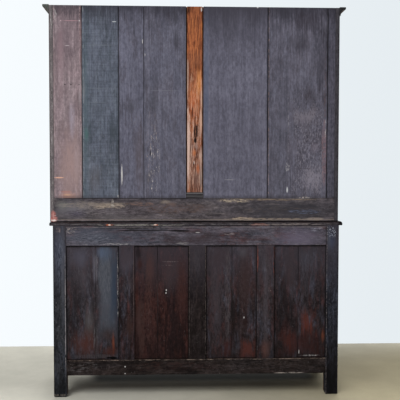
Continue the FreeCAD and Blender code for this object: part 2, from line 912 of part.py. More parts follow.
def rack_side(side, sign, housed):
    """A side of the rack: straight above, drawn in to a waist over the base, with a scrolled foot."""
    waist = rear - size.rack_waist_depth
    outline = [
        (rear, rack_low),
        (rear, rack_high),
        (rack_front, rack_high),
        (rack_front, rack_low + size.rack_shoulder_height, -0.4),
        (waist, rack_low + size.rack_waist_height, 0.35),
        (rack_front, rack_low + size.rack_foot_height),
        (rack_front, rack_low),
    ]
    body = shaped(f"rack_side_{side}_board", "YZ_Plane", outline, size.rack_side)
    put(body, sign * (half_rack - size.rack_side / 2) - size.rack_side / 2)
    node(cut(f"rack_side_{side}", body, *housed))


def frieze():
    """The frieze under the cornice, its lower edge a row of scallops between two flats."""
    half = rack_x[1]
    low = -size.frieze_height
    pitch = (2 * half - 2 * size.frieze_flat) / SCALLOPS
    outline = [(half, 0), (-half, 0), (-half, low)]
    for number in range(SCALLOPS):
        outline.append((-half + size.frieze_flat + number * pitch, low, -0.43))
    outline += [(half - size.frieze_flat, low), (half, low)]
    body = shaped("frieze_board", "XZ_Plane", outline, size.frieze_thickness)
    put(body, 0, rack_front + size.frieze_thickness, rack_high)
    return node(body)


def cornice_profile(sign):
    """The cornice in section: bead, cove, step and fascia, standing out to one side."""
    out = size.cornice_projection
    fascia_low = size.cornice_height - size.cornice_fascia
    inner = sign * (out - size.cornice_step)
    bulge = 0.4 * sign
    return [
        (0, 0),
        (sign * size.cornice_bead, 0),
        (sign * size.cornice_bead, size.cornice_bead, -bulge),
        (inner, fascia_low),
        (sign * out, fascia_low),
        (sign * out, size.cornice_height),
        (0, size.cornice_height),
    ]


def cornice():
    """Front and return mouldings, mitred at the front corners."""
    out = size.cornice_projection
    low = rack_high + size.cornice_rise - size.cornice_height
    front = shaped("cornice_front_length", "YZ_Plane", cornice_profile(-1), rack_width + 2 * out)
    put(front, -half_rack - out, rack_front, low)
    waste = []
    for side, sign in SIDES.items():
        tip = sign * (half_rack + out)
        inner = sign * half_rack
        mitre = [(inner, rack_front), (tip, rack_front - out)]
        corners = {"ahead": (inner, rack_front - out), "behind": (tip, rack_front)}
        wedges = {}
        for part, corner in corners.items():
            wedges[part] = shaped(f"mitre_{part}_{side}", "XY_Plane", [*mitre, corner], size.cornice_height)
            put(wedges[part], 0, 0, low)
        waste.append(wedges["behind"])
        back = shaped(f"cornice_{side}_length", "XZ_Plane", cornice_profile(sign), size.rack_depth + out)
        put(back, inner, rear, low)
        node(cut(f"cornice_{side}", back, wedges["ahead"]))
    node(cut("cornice_front", front, *waste))


def centre_post(edge):
    """The raw centre post: its flange backs the boards on both sides; gives its far edge."""
    x = (edge - size.post_gap - size.centre_post, edge - size.post_gap)
    flange_x = inset(x, -size.post_flange)
    flange_y = (board_y[0] - size.post_flange_thickness, board_y[0])
    shown_y = (board_y[0], rear - size.centre_post_recess)
    block_z = (boards_low, boards_low + size.packing_block)
    flange = box("centre_post_flange", flange_x, flange_y, (boards_low, rack_high - size.rack_top_board))
    node(fuse("centre_post", flange, box("centre_post_shown", x, shown_y, (block_z[1], rack_high))))
    node(box("post_packing_block", inset(x, -size.post_gap + size.board_seam), shown_y, block_z))
    return x[0] - size.post_gap


def plank_back():
    """Seven lapped back boards; the centre post follows the fourth and the fifth fills what is left."""
    z = (boards_low, rack_high)
    joint = (size.board_lap, size.board_seam)
    lows = {5: rack_x[0] + size.board_7 + size.board_6, 7: rack_x[0]}
    edge = rack_x[1]
    for number in range(1, 8):
        low = lows[number] if number in lows else edge - getattr(size, f"board_{number}")
        lap_low = number not in (4, 7)
        lap_high = number not in (1, 5)
        node(lapped(f"back_board_{number}", (low, edge), board_y, z, *joint, low=lap_low, high=lap_high))
        edge = centre_post(low) if number == 4 else low


def rack():
    """Every piece of the plate rack."""
    plank_back()
    post = doc.getObject("centre_post")
    heights = {"lower": size.shelf_1_height, "middle": size.shelf_2_height, "upper": size.shelf_3_height}
    shelves = []
    for name, height in heights.items():
        shelves.append(shelf(f"shelf_{name}_board", height))
        node(cut(f"shelf_{name}", shelves[-1], post))
    top_x = inset(rack_x, -size.shelf_housing)
    top_y = (rack_front + size.frieze_thickness, board_y[0])
    top = node(box("rack_top_board", top_x, top_y, (rack_high - size.rack_top_board, rack_high)))
    for side, sign in SIDES.items():
        rack_side(side, sign, [*shelves, top])
    rail_y = (rear - size.rack_rail_thickness, rear)
    node(box("rack_bottom_rail", rack_x, rail_y, (rack_low, boards_low)))
    frieze()
    cornice()


def check():
    """Stop if any object failed or any piece has no valid solid."""
    doc.recompute()
    for item in doc.Objects:
        if {"Invalid", "Error"} & set(item.State):
            raise RuntimeError(f"{item.Name} failed: {item.State}")
    for piece in nodes:
        if piece.Shape.isNull() or not piece.Shape.isValid() or not piece.Shape.Solids:
            raise RuntimeError(f"{piece.Label} has no valid solid")


def export():
    os.makedirs("parts", exist_ok=True)
    for piece in nodes:
        piece.Shape.exportStep(f"parts/{piece.Label}.step")


base()
for drawer_name, drawer_sign in DRAWERS.items():
    drawer(drawer_name, drawer_sign)
rack()
check()
export()
print(len(nodes), "nodes")
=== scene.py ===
import json
import math
from typing import NamedTuple

import bmesh
import bpy
from mathutils import Matrix, Vector, noise


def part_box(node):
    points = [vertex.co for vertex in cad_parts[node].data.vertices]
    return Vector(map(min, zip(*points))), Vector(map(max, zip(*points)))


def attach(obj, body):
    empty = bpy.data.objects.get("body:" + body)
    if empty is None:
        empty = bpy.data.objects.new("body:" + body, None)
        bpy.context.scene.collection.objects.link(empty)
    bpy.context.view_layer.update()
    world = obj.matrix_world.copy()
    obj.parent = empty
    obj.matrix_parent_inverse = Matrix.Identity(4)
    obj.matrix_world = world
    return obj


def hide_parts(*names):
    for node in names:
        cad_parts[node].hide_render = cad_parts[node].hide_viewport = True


# Looks of the pot board dresser: rubbed arrises, aged finishes, smooth turnings and brass handles.
# Metres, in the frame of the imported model: +Z is up, the front faces -Y and the back +Y.

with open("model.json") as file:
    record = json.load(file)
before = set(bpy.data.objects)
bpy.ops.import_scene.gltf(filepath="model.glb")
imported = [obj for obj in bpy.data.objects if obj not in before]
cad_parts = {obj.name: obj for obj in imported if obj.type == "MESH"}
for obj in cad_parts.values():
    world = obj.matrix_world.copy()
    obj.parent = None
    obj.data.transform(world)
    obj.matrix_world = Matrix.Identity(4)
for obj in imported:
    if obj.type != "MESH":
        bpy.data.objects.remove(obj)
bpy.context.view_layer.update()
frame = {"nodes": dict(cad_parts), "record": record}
BODY = {node: body for body, nodes in frame["record"]["behaviour"]["bodies"].items() for node in nodes}
SLOT = {row["node"]: row["material_slot"] for row in frame["record"]["subparts"]}
DRAWERS = ("left", "middle", "right")

# Camera, as the photograph was taken: from behind, a little to one side and a little downwards
IMAGE_SIZE = 400
SENSOR = 36.0
FOCAL_PIXELS = 699.1
CAMERA_PLACE = Vector((0.117, 3.73, 1.14))
CAMERA_YAW = math.radians(-2.303)
CAMERA_PITCH = math.radians(2.381)
CAMERA_ROLL = math.radians(0.063)


class Mark(NamedTuple):
    """A mark on the back, such as stains, scratches, seams, worn patches, painted shade and painted
    highlights: its middle, its reach each way and its colour.

    Places and reaches are in millimetres. Ragged bends its edge along the grain, and soft fades it.
    Broken leaves only flecks of it, at the heights of a pattern, or at its depths if below nought.
    A boxy mark is square, not round.
    """
    x: float
    z: float
    wide: float
    tall: float
    colour: tuple
    strength: float = 0.8
    ragged: float = 0.5
    soft: float = 0.4
    broken: float = 0.0
    boxy: bool = False


class Tint(NamedTuple):
    """A colour that comes through in patches: how strongly, and above which level of the pattern."""
    colour: tuple
    strength: float = 0.5
    limit: float = 0.56


class Pattern(NamedTuple):
    """A noise in the wood: its waves per metre across and along the grain, and how it is made up."""
    across: float
    along: float
    detail: float
    rough: float
    warp: float = 0.0


# The patterns by which marks break up into flecks
FLECKS = Pattern(240, 38, 6, 0.72)
LONG_FLECKS = FLECKS._replace(across=210, along=16)
ROUND_FLECKS = FLECKS._replace(across=200, along=70)
SHORT_FLECKS = FLECKS._replace(across=200, along=120)


class Look(NamedTuple):
    """How one piece of wood looks: two colours, the way its grain runs and what is on it.

    Deep is how far in front of its rear face a piece of the back still looks so.
    """
    colour: tuple
    second: tuple
    grain: str = "z"
    streak: float = 0.3
    mottle: float = 0.16
    grit: float = 0.2
    saw: float = 0.0
    pores: float = 0.0
    specks: float = 0.0
    tints: tuple = ()
    edge: Tint = Tint((128, 120, 122), 0.3, 0.55)
    fleck: Pattern = FLECKS
    rough: float = 0.5
    gloss: float = 0.05
    deep: float = 0.004
    marks: tuple = ()


def tone(red, green, blue):
    """A colour given in display values, as a shader takes it."""
    shares = [value / 255 for value in (red, green, blue)]
    return (*[s / 12.92 if s <= 0.04045 else ((s + 0.055) / 1.055) ** 2.4 for s in shares], 1.0)


# How far the patterns of one piece are moved from those of the next
SEED_SHIFT = (3.1, 5.3, 7.7)


class Nodes:
    """The nodes of a material or of the surroundings, in the making."""

    def __init__(self, tree):
        self.tree = tree

    def feed(self, socket, value):
        """Link a socket to another, or set it to a plain value."""
        if isinstance(value, bpy.types.NodeSocket):
            self.tree.links.new(value, socket)
        else:
            socket.default_value = value

    def add(self, kind, settings=None, **inputs):
        made = self.tree.nodes.new(f"ShaderNode{kind}")
        for key, value in (settings or {}).items():
            setattr(made, key, value)
        for key, value in inputs.items():
            self.feed(made.inputs[key.replace("_", " ")], value)
        return made

    def ordered(self, kind, operation, values):
        made = self.add(kind, {"operation": operation})
        for socket, value in zip(made.inputs, values):
            self.feed(socket, value)
        return made

    def math(self, operation, *values):
        return self.ordered("Math", operation, values).outputs[0]

    def vector(self, operation, *values):
        return self.ordered("VectorMath", operation, values).outputs[0]

    def length(self, value, boxy=False):
        """How far a point is from the origin, or the largest of its three reaches."""
        if not boxy:
            return self.ordered("VectorMath", "LENGTH", (value,)).outputs["Value"]
        x, y, z = self.add("SeparateXYZ", Vector=self.vector("ABSOLUTE", value)).outputs
        return self.math("MAXIMUM", self.math("MAXIMUM", x, y), z)

    def scaled(self, colour, factor):
        made = self.add("VectorMath", {"operation": "SCALE"}, Scale=factor)
        self.feed(made.inputs[0], colour)
        return made.outputs[0]

    def shaded(self, colour, value, reach, amount):
        """Darken a colour where a value is low and lighten it as much where it is high."""
        return self.scaled(colour, self.fade(value, *reach, 1 - amount, 1 + amount))

    def fade(self, value, low, high, start=0.0, end=1.0):
        """Rise smoothly from start to end while the value goes from low to high."""
        settings = {"interpolation_type": "SMOOTHSTEP"}
        inputs = {"From_Min": low, "From_Max": high, "To_Min": start, "To_Max": end}
        return self.add("MapRange", settings, Value=value, **inputs).outputs[0]

    def mix(self, factor, one, other):
        made = self.add("Mix", {"data_type": "RGBA"})
        for index, value in zip((0, 6, 7), (factor, one, other)):
            self.feed(made.inputs[index], value)
        return made.outputs[2]

    def looked_at(self):
        """Whether the camera looks here, straight or by way of a mirror or glass."""
        path = self.add("LightPath").outputs
        shiny = self.math("MAXIMUM", path["Is Glossy Ray"], path["Is Transmission Ray"])
        return self.math("MAXIMUM", path["Is Camera Ray"], shiny)

    def show(self, output, share, one, other):
        """End in one shader, or by its share in the other."""
        shown = self.add("MixShader")
        for socket, value in zip(shown.inputs, (share, one, other)):
            self.feed(socket, value)
        self.feed(self.tree.nodes[output].inputs["Surface"], shown.outputs[0])


class Finish(Nodes):
    """A material in the making: its nodes, the point on the surface and the shader at its end."""

    def __init__(self, name, seed):
        self.material = bpy.data.materials.new(name)
        self.material.use_nodes = True
        super().__init__(self.material.node_tree)
        self.shader = self.tree.nodes["Principled BSDF"]
        self.point = self.add("TexCoord").outputs["Object"]
        self.shift = tuple(seed * step for step in SEED_SHIFT)

    def noise(self, pattern, grain="z"):
        """A noise that is drawn out along the grain."""
        stretch = tuple(pattern.along if axis == grain else pattern.across for axis in "xyz")
        place = self.vector("MULTIPLY_ADD", self.point, stretch, self.shift)
        inputs = {"Scale": 1.0, "Detail": pattern.detail, "Roughness": pattern.rough}
        return self.add("TexNoise", Vector=place, Distortion=pattern.warp, **inputs).outputs[0]

    def bump(self, height, distance):
        made = self.add("Bump", Height=height, Distance=distance)
        self.feed(self.shader.inputs["Normal"], made.outputs[0])

    def set(self, **inputs):
        for key, value in inputs.items():
            self.feed(self.shader.inputs[key.replace("_", " ")], value)


# Marks: how deep they go, how far ragged ones bend, and how sharply flecks begin
MARK_DEPTH = 0.012
RAGGED_BEND = 1.6
FLECK_EDGE = 0.05


def marked(finish, colour, look, face, uneven):
    """Lay the marks over a colour on the rear face, each with an edge that wavers with the grain."""
    crumbs = finish.noise(look.fleck, look.grain)
    for mark in look.marks:
        reach = (mark.wide / 1000, MARK_DEPTH, mark.tall / 1000)
        centre = (mark.x / 1000, face, mark.z / 1000)
        share = tuple(1 / value for value in reach)
        offset = tuple(-place / value for place, value in zip(centre, reach))
        away = finish.length(finish.vector("MULTIPLY_ADD", finish.point, share, offset), mark.boxy)
        bent = finish.math("MULTIPLY_ADD", uneven, mark.ragged * RAGGED_BEND, away)
        mask = finish.fade(bent, 1 - mark.soft, 1, mark.strength, 0.0)
        if mark.broken:
            side = math.copysign(FLECK_EDGE, mark.broken)
            limit = mark.broken if mark.broken > 0 else 1 + mark.broken
            mask = finish.math("MULTIPLY", mask, finish.fade(crumbs, limit - side, limit + side))
        colour = finish.mix(mask, colour, tone(*mark.colour))
    return colour


# Patterns in the wood: waves across and along the grain, detail, roughness and warp
BROAD_FIGURE = Pattern(34, 0.9, 5, 0.6, 0.4)
CLOUDS = Pattern(7, 7, 4, 0.6)
FINE_GRAIN = Pattern(230, 6, 5, 0.65, 0.3)
FIBRES = Pattern(1100, 24, 3, 0.6)
MOTTLE = Pattern(30, 8, 6, 0.72, 0.5)
GRIT = Pattern(95, 48, 4, 0.7)
SAW_TEETH = Pattern(5, 160, 2, 0.5)
PORES = Pattern(640, 20, 3, 0.6)
TINT_PATCHES = (Pattern(21, 5, 6, 0.7, 0.6), Pattern(34, 9, 6, 0.7, 0.6))
SPECKS = ((Pattern(300, 110, 2, 0.5), 1.0), (Pattern(60, 380, 2, 0.5), 0.6))

# Between which levels of a pattern what it drives comes up
FIGURE_FADES = (0.48, 0.74)
STREAK_FADES = (0.28, 0.72)
EVEN_FADES = (0.3, 0.7)
GRIT_FADES = (0.32, 0.68)
PORE_FADES = (0.52, 0.64)
SPECK_FADES = (0.68, 0.77)
TINT_EDGE = 0.08

# Shares of the patterns in the figure, the grain and the unevenness, and the middle of the last
FIGURE_SHARE = 0.6
FINE_SHARE = 0.65
MOTTLE_SHARE = 1.7
UNEVEN_MIDDLE = 1.35


def grained(finish, look):
    """The colour of a board, its grain and the unevenness that bends the edges of marks."""
    broad = finish.noise(BROAD_FIGURE, look.grain)
    cloud = finish.noise(CLOUDS)
    fine = finish.noise(FINE_GRAIN, look.grain)
    fibre = finish.noise(FIBRES, look.grain)
    mottle = finish.noise(MOTTLE, look.grain)
    figure = finish.math("MULTIPLY", finish.math("ADD", cloud, broad), FIGURE_SHARE)
    colour = finish.mix(finish.fade(figure, *FIGURE_FADES), tone(*look.colour), tone(*look.second))
    for tint, pattern in zip(look.tints, TINT_PATCHES):
        patch = finish.noise(pattern, look.grain)
        share = finish.fade(patch, tint.limit - TINT_EDGE, tint.limit + TINT_EDGE, 0.0, tint.strength)
        colour = finish.mix(share, colour, tone(*tint.colour))
    grain = finish.math("MULTIPLY_ADD", fine, FINE_SHARE, finish.math("MULTIPLY", fibre, 1 - FINE_SHARE))
    colour = finish.shaded(colour, grain, STREAK_FADES, look.streak)
    colour = finish.shaded(colour, mottle, EVEN_FADES, look.mottle)
    colour = finish.shaded(colour, finish.noise(GRIT, look.grain), GRIT_FADES, look.grit)
    if look.saw:
        colour = finish.shaded(colour, finish.noise(SAW_TEETH, look.grain), EVEN_FADES, look.saw)
    if look.pores:
        dashes = finish.noise(PORES, look.grain)
        colour = finish.scaled(colour, finish.fade(dashes, *PORE_FADES, 1.0, 1 - look.pores))
    if look.specks:
        colour = specked(finish, colour, look)
    uneven = finish.math("SUBTRACT", fine, UNEVEN_MIDDLE)
    uneven = finish.math("MULTIPLY_ADD", mottle, MOTTLE_SHARE, uneven)
    return colour, grain, uneven


def specked(finish, colour, look):
    """Scatter small pale specks and short scratches, along the grain and across it."""
    for pattern, share in SPECKS:
        dots = finish.noise(pattern, look.grain)
        colour = finish.mix(finish.fade(dots, *SPECK_FADES, 0.0, look.specks * share), colour, tone(*SPECK))
    return colour


# Rubbed arrises: the layer that tells them, and how far below and above its limit their colour comes up
RUBBED = "rubbed"
RUB_BELOW = 0.12
RUB_ABOVE = 0.06


def rubbed(finish, colour, look, grain):
    """Let the rubbed arrises show paler, where the grain stands up."""
    arris = finish.add("Attribute", {"attribute_name": RUBBED}).outputs["Fac"]
    limit = look.edge.limit
    worn = finish.fade(grain, limit - RUB_BELOW, limit + RUB_ABOVE, 0.0, look.edge.strength)
    return finish.mix(finish.math("MULTIPLY", arris, worn), colour, tone(*look.edge.colour))


# Over how much depth the look of the back gives way to oak, and how high and rough the grain is
PAINT_FADES = 0.006
GRAIN_RELIEF = 0.0006
ROUGHER = 0.12
SMOOTHER = 0.1


def wood(node, look, seed):
    """Aged wood; a piece of the back has its own look on its rear face alone and is oak elsewhere."""
    finish = Finish(node, seed)
    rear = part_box(node)[1].y
    colour, grain, uneven = grained(finish, look)
    colour = rubbed(finish, colour, look, grain)
    colour = marked(finish, colour, look, rear, uneven)
    if node in BACK_LOOKS:
        depth = finish.add("SeparateXYZ", Vector=finish.point).outputs[1]
        oak = grained(finish, OAK._replace(grain=look.grain))[0]
        full = rear - look.deep
        colour = finish.mix(finish.fade(depth, full - PAINT_FADES, full), oak, colour)
    rough = finish.fade(grain, *EVEN_FADES, look.rough + ROUGHER, look.rough - SMOOTHER)
    finish.set(Base_Color=colour, Roughness=rough, Specular_IOR_Level=look.gloss)
    finish.bump(grain, GRAIN_RELIEF)
    return finish.material


# Colours of the back, by the name that fits them
MAUVE = (122, 107, 113)
PALE_MAUVE = (142, 126, 132)
TEAL = (85, 91, 105)
SLATE = (90, 90, 105)
PALE_SLATE = (103, 102, 117)
RAW_ORANGE = (164, 98, 64)
RAW_BROWN = (124, 74, 55)
# Near black for dirt in joints, nails and cracks, and also for painted shadow and painted shade
DIRT_AND_SHADOW_BLACK = (14, 12, 13)
BLACK = (5, 4, 5)
CHALK = (205, 202, 203)
SPECK = (150, 144, 146)
TAN = (134, 118, 102)

# How far a line runs that crosses the whole back, its middle, and the shade round a seam
LINE_REACH = 9000
LINE_MIDDLE = 1000
SHADE_WIDE = 10
SHADE_SHARE = 0.3


def stain_and_shade(x, z, wide, tall, colour, strength, soft=0.9, **more):
    """A soft patch of another colour: some are stains, others painted shade or painted shadow."""
    return Mark(x, z, wide, tall, colour, strength, soft=soft, **more)


def flecks(x, z, wide, tall, colour, strength, broken, **more):
    """A patch that is broken up into flecks."""
    return Mark(x, z, wide, tall, colour, strength, broken=broken, **more)


def upright(x, colour, wide=2, strength=0.9, **more):
    """A line down the whole back."""
    return Mark(x, LINE_MIDDLE, wide, LINE_REACH, colour, strength, **more)


def level(z, colour, tall=2, strength=0.9, **more):
    """A line right across the back."""
    return Mark(0, z, LINE_REACH, tall, colour, strength, **more)


def seams(*places, wide=2.8, strength=0.9):
    """Dirt in the joints beside a board or a panel: a dark line, and a fainter painted shade round it;
    beside a panel set back in its frame the line is painted shadow as well.
    """
    shades = [upright(x, DIRT_AND_SHADOW_BLACK, SHADE_WIDE, strength * SHADE_SHARE, soft=0.9) for x in places]
    return tuple(shades + [upright(x, DIRT_AND_SHADOW_BLACK, wide, strength) for x in places])


# The marks of each piece, in the order in which they are laid
BOARD_FOOT = (level(1003, DIRT_AND_SHADOW_BLACK, 3, 0.6), level(1008, (56, 54, 60), 14, 0.4, soft=0.9))
FAINT_FOOT = (level(1002.5, DIRT_AND_SHADOW_BLACK, 3, 0.6), level(1008, (56, 54, 60), 14, 0.45, soft=0.9))
# Painted shade under the cornice: the boards darker towards their top, and a dark line where they meet it
CORNICE_SHADE = (
    level(1970, (50, 48, 57), 160, 0.52, soft=0.95),
    level(1965, (44, 42, 50), 90, 0.45, soft=0.9),
    level(1959, DIRT_AND_SHADOW_BLACK, 5, 0.8),
)

BOARD_1 = CORNICE_SHADE + (
    stain_and_shade(640, 1800, 100, 200, (108, 95, 104), 0.5, 1.0),
    stain_and_shade(620, 1170, 90, 260, (164, 139, 138), 0.8, 1.0),
    stain_and_shade(612, 1390, 20, 130, (160, 150, 164), 0.7),
    stain_and_shade(590, 1200, 20, 140, (158, 140, 144), 0.5),
    flecks(630, 1600, 60, 500, (156, 140, 146), 0.45, 0.56),
    flecks(630, 1550, 70, 500, (86, 72, 78), 0.5, 0.6),
    flecks(692, 1920, 12, 50, CHALK, 0.45, 0.56),
    Mark(616, 1879, 52, 2.2, (176, 140, 150), 0.8),
    Mark(664, 1879, 4, 4, (200, 176, 182), 0.8),
    Mark(572, 1879, 4, 4, CHALK, 0.9),
    Mark(632, 1757, 14, 2.2, (200, 188, 194), 0.65),
    Mark(678, 1106, 26, 3.6, (222, 172, 150), 0.95),
    stain_and_shade(640, 1014, 60, 34, (186, 142, 128), 0.6, ragged=0.6),
    stain_and_shade(636, 1020, 24, 5, (206, 166, 138), 0.7, 0.8),
    stain_and_shade(650, 1036, 46, 6, (168, 118, 110), 0.5, 0.8),
    stain_and_shade(572, 1530, 10, 100, (160, 148, 155), 0.5),
    upright(571, (196, 170, 170), 4, 0.7, broken=0.58),
    upright(698, (160, 142, 144), 6, 0.6, broken=0.54),
    stain_and_shade(665, 1700, 25, 300, (146, 122, 130), 0.5, 1.0),
) + tuple(Mark(x, 1566, 4, 4, DIRT_AND_SHADOW_BLACK) for x in (645, 616, 576)) + (
    flecks(567, 1800, 5, 200, (88, 60, 60), 0.5, 0.48),
) + seams(703, wide=2, strength=0.25) + seams(562, wide=2, strength=0.35) + BOARD_FOOT

BOARD_2 = CORNICE_SHADE + (
    stain_and_shade(552, 1530, 12, 90, (142, 140, 150), 0.6),
    stain_and_shade(545, 1400, 30, 700, (74, 92, 98), 0.5, 1.0),
    stain_and_shade(400, 1330, 45, 140, (56, 62, 68), 0.6, 1.0),
    stain_and_shade(500, 1100, 60, 120, (100, 98, 105), 0.5, 1.0),
    stain_and_shade(475, 1450, 60, 100, (64, 70, 80), 0.4, 1.0),
    stain_and_shade(540, 1320, 15, 50, (72, 110, 104), 0.5),
    flecks(470, 1200, 100, 200, (120, 122, 130), 0.5, 0.62),
    Mark(470, 1761, 80, 1.8, (124, 130, 140), 0.6),
    Mark(480, 1549, 70, 1.8, (124, 130, 140), 0.5),
    Mark(490, 1479, 60, 1.8, (118, 124, 134), 0.5),
    Mark(402, 1876, 12, 2.6, (196, 200, 206), 0.8),
    flecks(384, 1014, 6, 8, CHALK, 0.8, 0.45),
    upright(555, (142, 148, 156), 2.8, 0.7, broken=0.5),
) + seams(561, wide=2, strength=0.6) + seams(380, wide=2, strength=0.85) + BOARD_FOOT

BOARD_3 = CORNICE_SHADE + (
    stain_and_shade(320, 1460, 70, 70, (72, 71, 80), 0.5, 1.0),
    stain_and_shade(280, 1200, 40, 250, (90, 80, 84), 0.5, 1.0),
    Mark(366, 1115, 3.5, 50, CHALK, 0.95, ragged=0.9),
    Mark(262, 1780, 2, 12, CHALK, 0.75),
    flecks(300, 1400, 40, 50, (116, 108, 112), 0.5, 0.58),
) + seams(380, wide=2, strength=0.85) + seams(256, wide=1.4, strength=0.5) + BOARD_FOOT

BOARD_4 = CORNICE_SHADE + (
    stain_and_shade(237, 1109, 26, 55, (76, 73, 80), 0.55),
    stain_and_shade(100, 1900, 22, 60, (60, 58, 66), 0.7),
    stain_and_shade(88, 1780, 18, 80, (60, 58, 66), 0.6),
    stain_and_shade(200, 1500, 60, 100, (74, 73, 82), 0.45, 1.0),
    stain_and_shade(105, 1360, 20, 50, (64, 60, 66), 0.5),
    Mark(150, 1539, 100, 1.8, (120, 120, 130), 0.5),
    flecks(213, 1230, 40, 240, (162, 144, 138), 0.7, 0.6),
    flecks(205, 1170, 35, 190, CHALK, 0.85, 0.62),
    Mark(223.5, 1228, 3, 22, DIRT_AND_SHADOW_BLACK, 0.9),
    Mark(250, 1716, 2, 8, CHALK, 0.75),
    flecks(235, 1750, 20, 50, (130, 126, 132), 0.6, 0.6),
) + seams(256, wide=1.4, strength=0.5) + seams(46, wide=2, strength=0.15) + BOARD_FOOT

PACKING = (
    level(1028, (116, 114, 116), 3, 0.7, ragged=0.6),
    level(1014, (98, 96, 98), 2.5, 0.6, ragged=0.6),
)
POST = (
    stain_and_shade(0, 1930, 300, 300, (124, 72, 51), 0.6),
    stain_and_shade(0, 1700, 300, 70, (128, 84, 66), 0.5),
    stain_and_shade(-18, 1585, 20, 90, (206, 130, 72), 0.85),
    stain_and_shade(10, 1470, 26, 100, (180, 94, 56), 0.85),
    stain_and_shade(-12, 1090, 18, 60, (158, 82, 46), 0.85),
    stain_and_shade(0, 1130, 300, 300, (128, 102, 94), 0.65),
    flecks(0, 1840, 300, 200, (190, 118, 72), 0.6, -0.56),
    flecks(0, 1500, 300, 900, (84, 44, 32), 0.75, 0.55),
    flecks(0, 1300, 300, 360, (216, 172, 146), 0.55, -0.55),
    flecks(0, 1250, 300, 240, (190, 166, 158), 0.5, -0.55),
    flecks(0, 1200, 300, 260, (60, 36, 30), 0.85, 0.57),
    stain_and_shade(6, 1230, 14, 30, (196, 112, 62), 0.7),
    stain_and_shade(-13, 1150, 11, 34, (178, 98, 60), 0.7),
    stain_and_shade(36, 1242, 10, 250, (216, 186, 174), 0.85, ragged=0.9, soft=0.6),
    stain_and_shade(-26, 1391, 9, 70, (206, 168, 148), 0.75, ragged=0.9, soft=0.8),
    stain_and_shade(-28, 1191, 8, 160, (172, 144, 134), 0.6, ragged=0.9),
    flecks(0, 1325, 14, 55, (66, 40, 34), 0.7, 0.46),
    stain_and_shade(-30, 1499, 7, 90, (208, 172, 154), 0.7, ragged=0.9, soft=0.7),
    stain_and_shade(38, 1600, 5, 140, (206, 174, 158), 0.6, ragged=0.9, soft=0.7),
    stain_and_shade(-4, 1093, 22, 60, (94, 66, 60), 0.75),
    stain_and_shade(-3, 1258, 24, 30, (176, 150, 142), 0.5, ragged=1.2),
    stain_and_shade(-3, 1454, 30, 34, (196, 150, 124), 0.35),
    stain_and_shade(-29, 1098, 7, 60, (122, 112, 108), 0.6),
    Mark(5, 1337, 2.8, 30, DIRT_AND_SHADOW_BLACK, 0.9, ragged=0.7),
    Mark(-6, 1335, 3, 36, DIRT_AND_SHADOW_BLACK, 0.9, ragged=0.7),
    Mark(1, 1291, 6, 13, DIRT_AND_SHADOW_BLACK, 0.95, ragged=0.7),
    Mark(6, 1183, 3, 14, (214, 204, 200), 0.7, ragged=0.7),
    Mark(11, 1177, 3.5, 14, DIRT_AND_SHADOW_BLACK, 0.9, ragged=0.7),
    Mark(14, 1430, 3, 40, (50, 26, 20), 0.8, ragged=0.8),
    # Painted shadow on the rounded top of the post, at this corner
    stain_and_shade(34, 1936, 15, 34, DIRT_AND_SHADOW_BLACK, 0.75),
    Mark(-30, 1940, 4, 12, CHALK, 0.7),
)

BOARD_5 = CORNICE_SHADE + (
    stain_and_shade(-326, 1570, 35, 60, (80, 78, 90), 0.5),
    # Painted shade: the board darker towards its top, under the cornice
    stain_and_shade(-200, 1980, 500, 360, (66, 64, 74), 0.8, ragged=0.15, soft=1.0),
    stain_and_shade(-55, 1500, 20, 600, (84, 92, 114), 0.5),
    stain_and_shade(-310, 1300, 50, 300, (82, 80, 93), 0.25, 1.0),
    Mark(-172, 1096, 33, 1.8, (156, 156, 164), 0.7),
    Mark(-310, 1953, 4, 5, CHALK, 0.9),
    flecks(-200, 1200, 120, 200, (122, 120, 130), 0.35, 0.62),
) + seams(-40.5, wide=2, strength=0.15) + seams(-362.5) + FAINT_FOOT

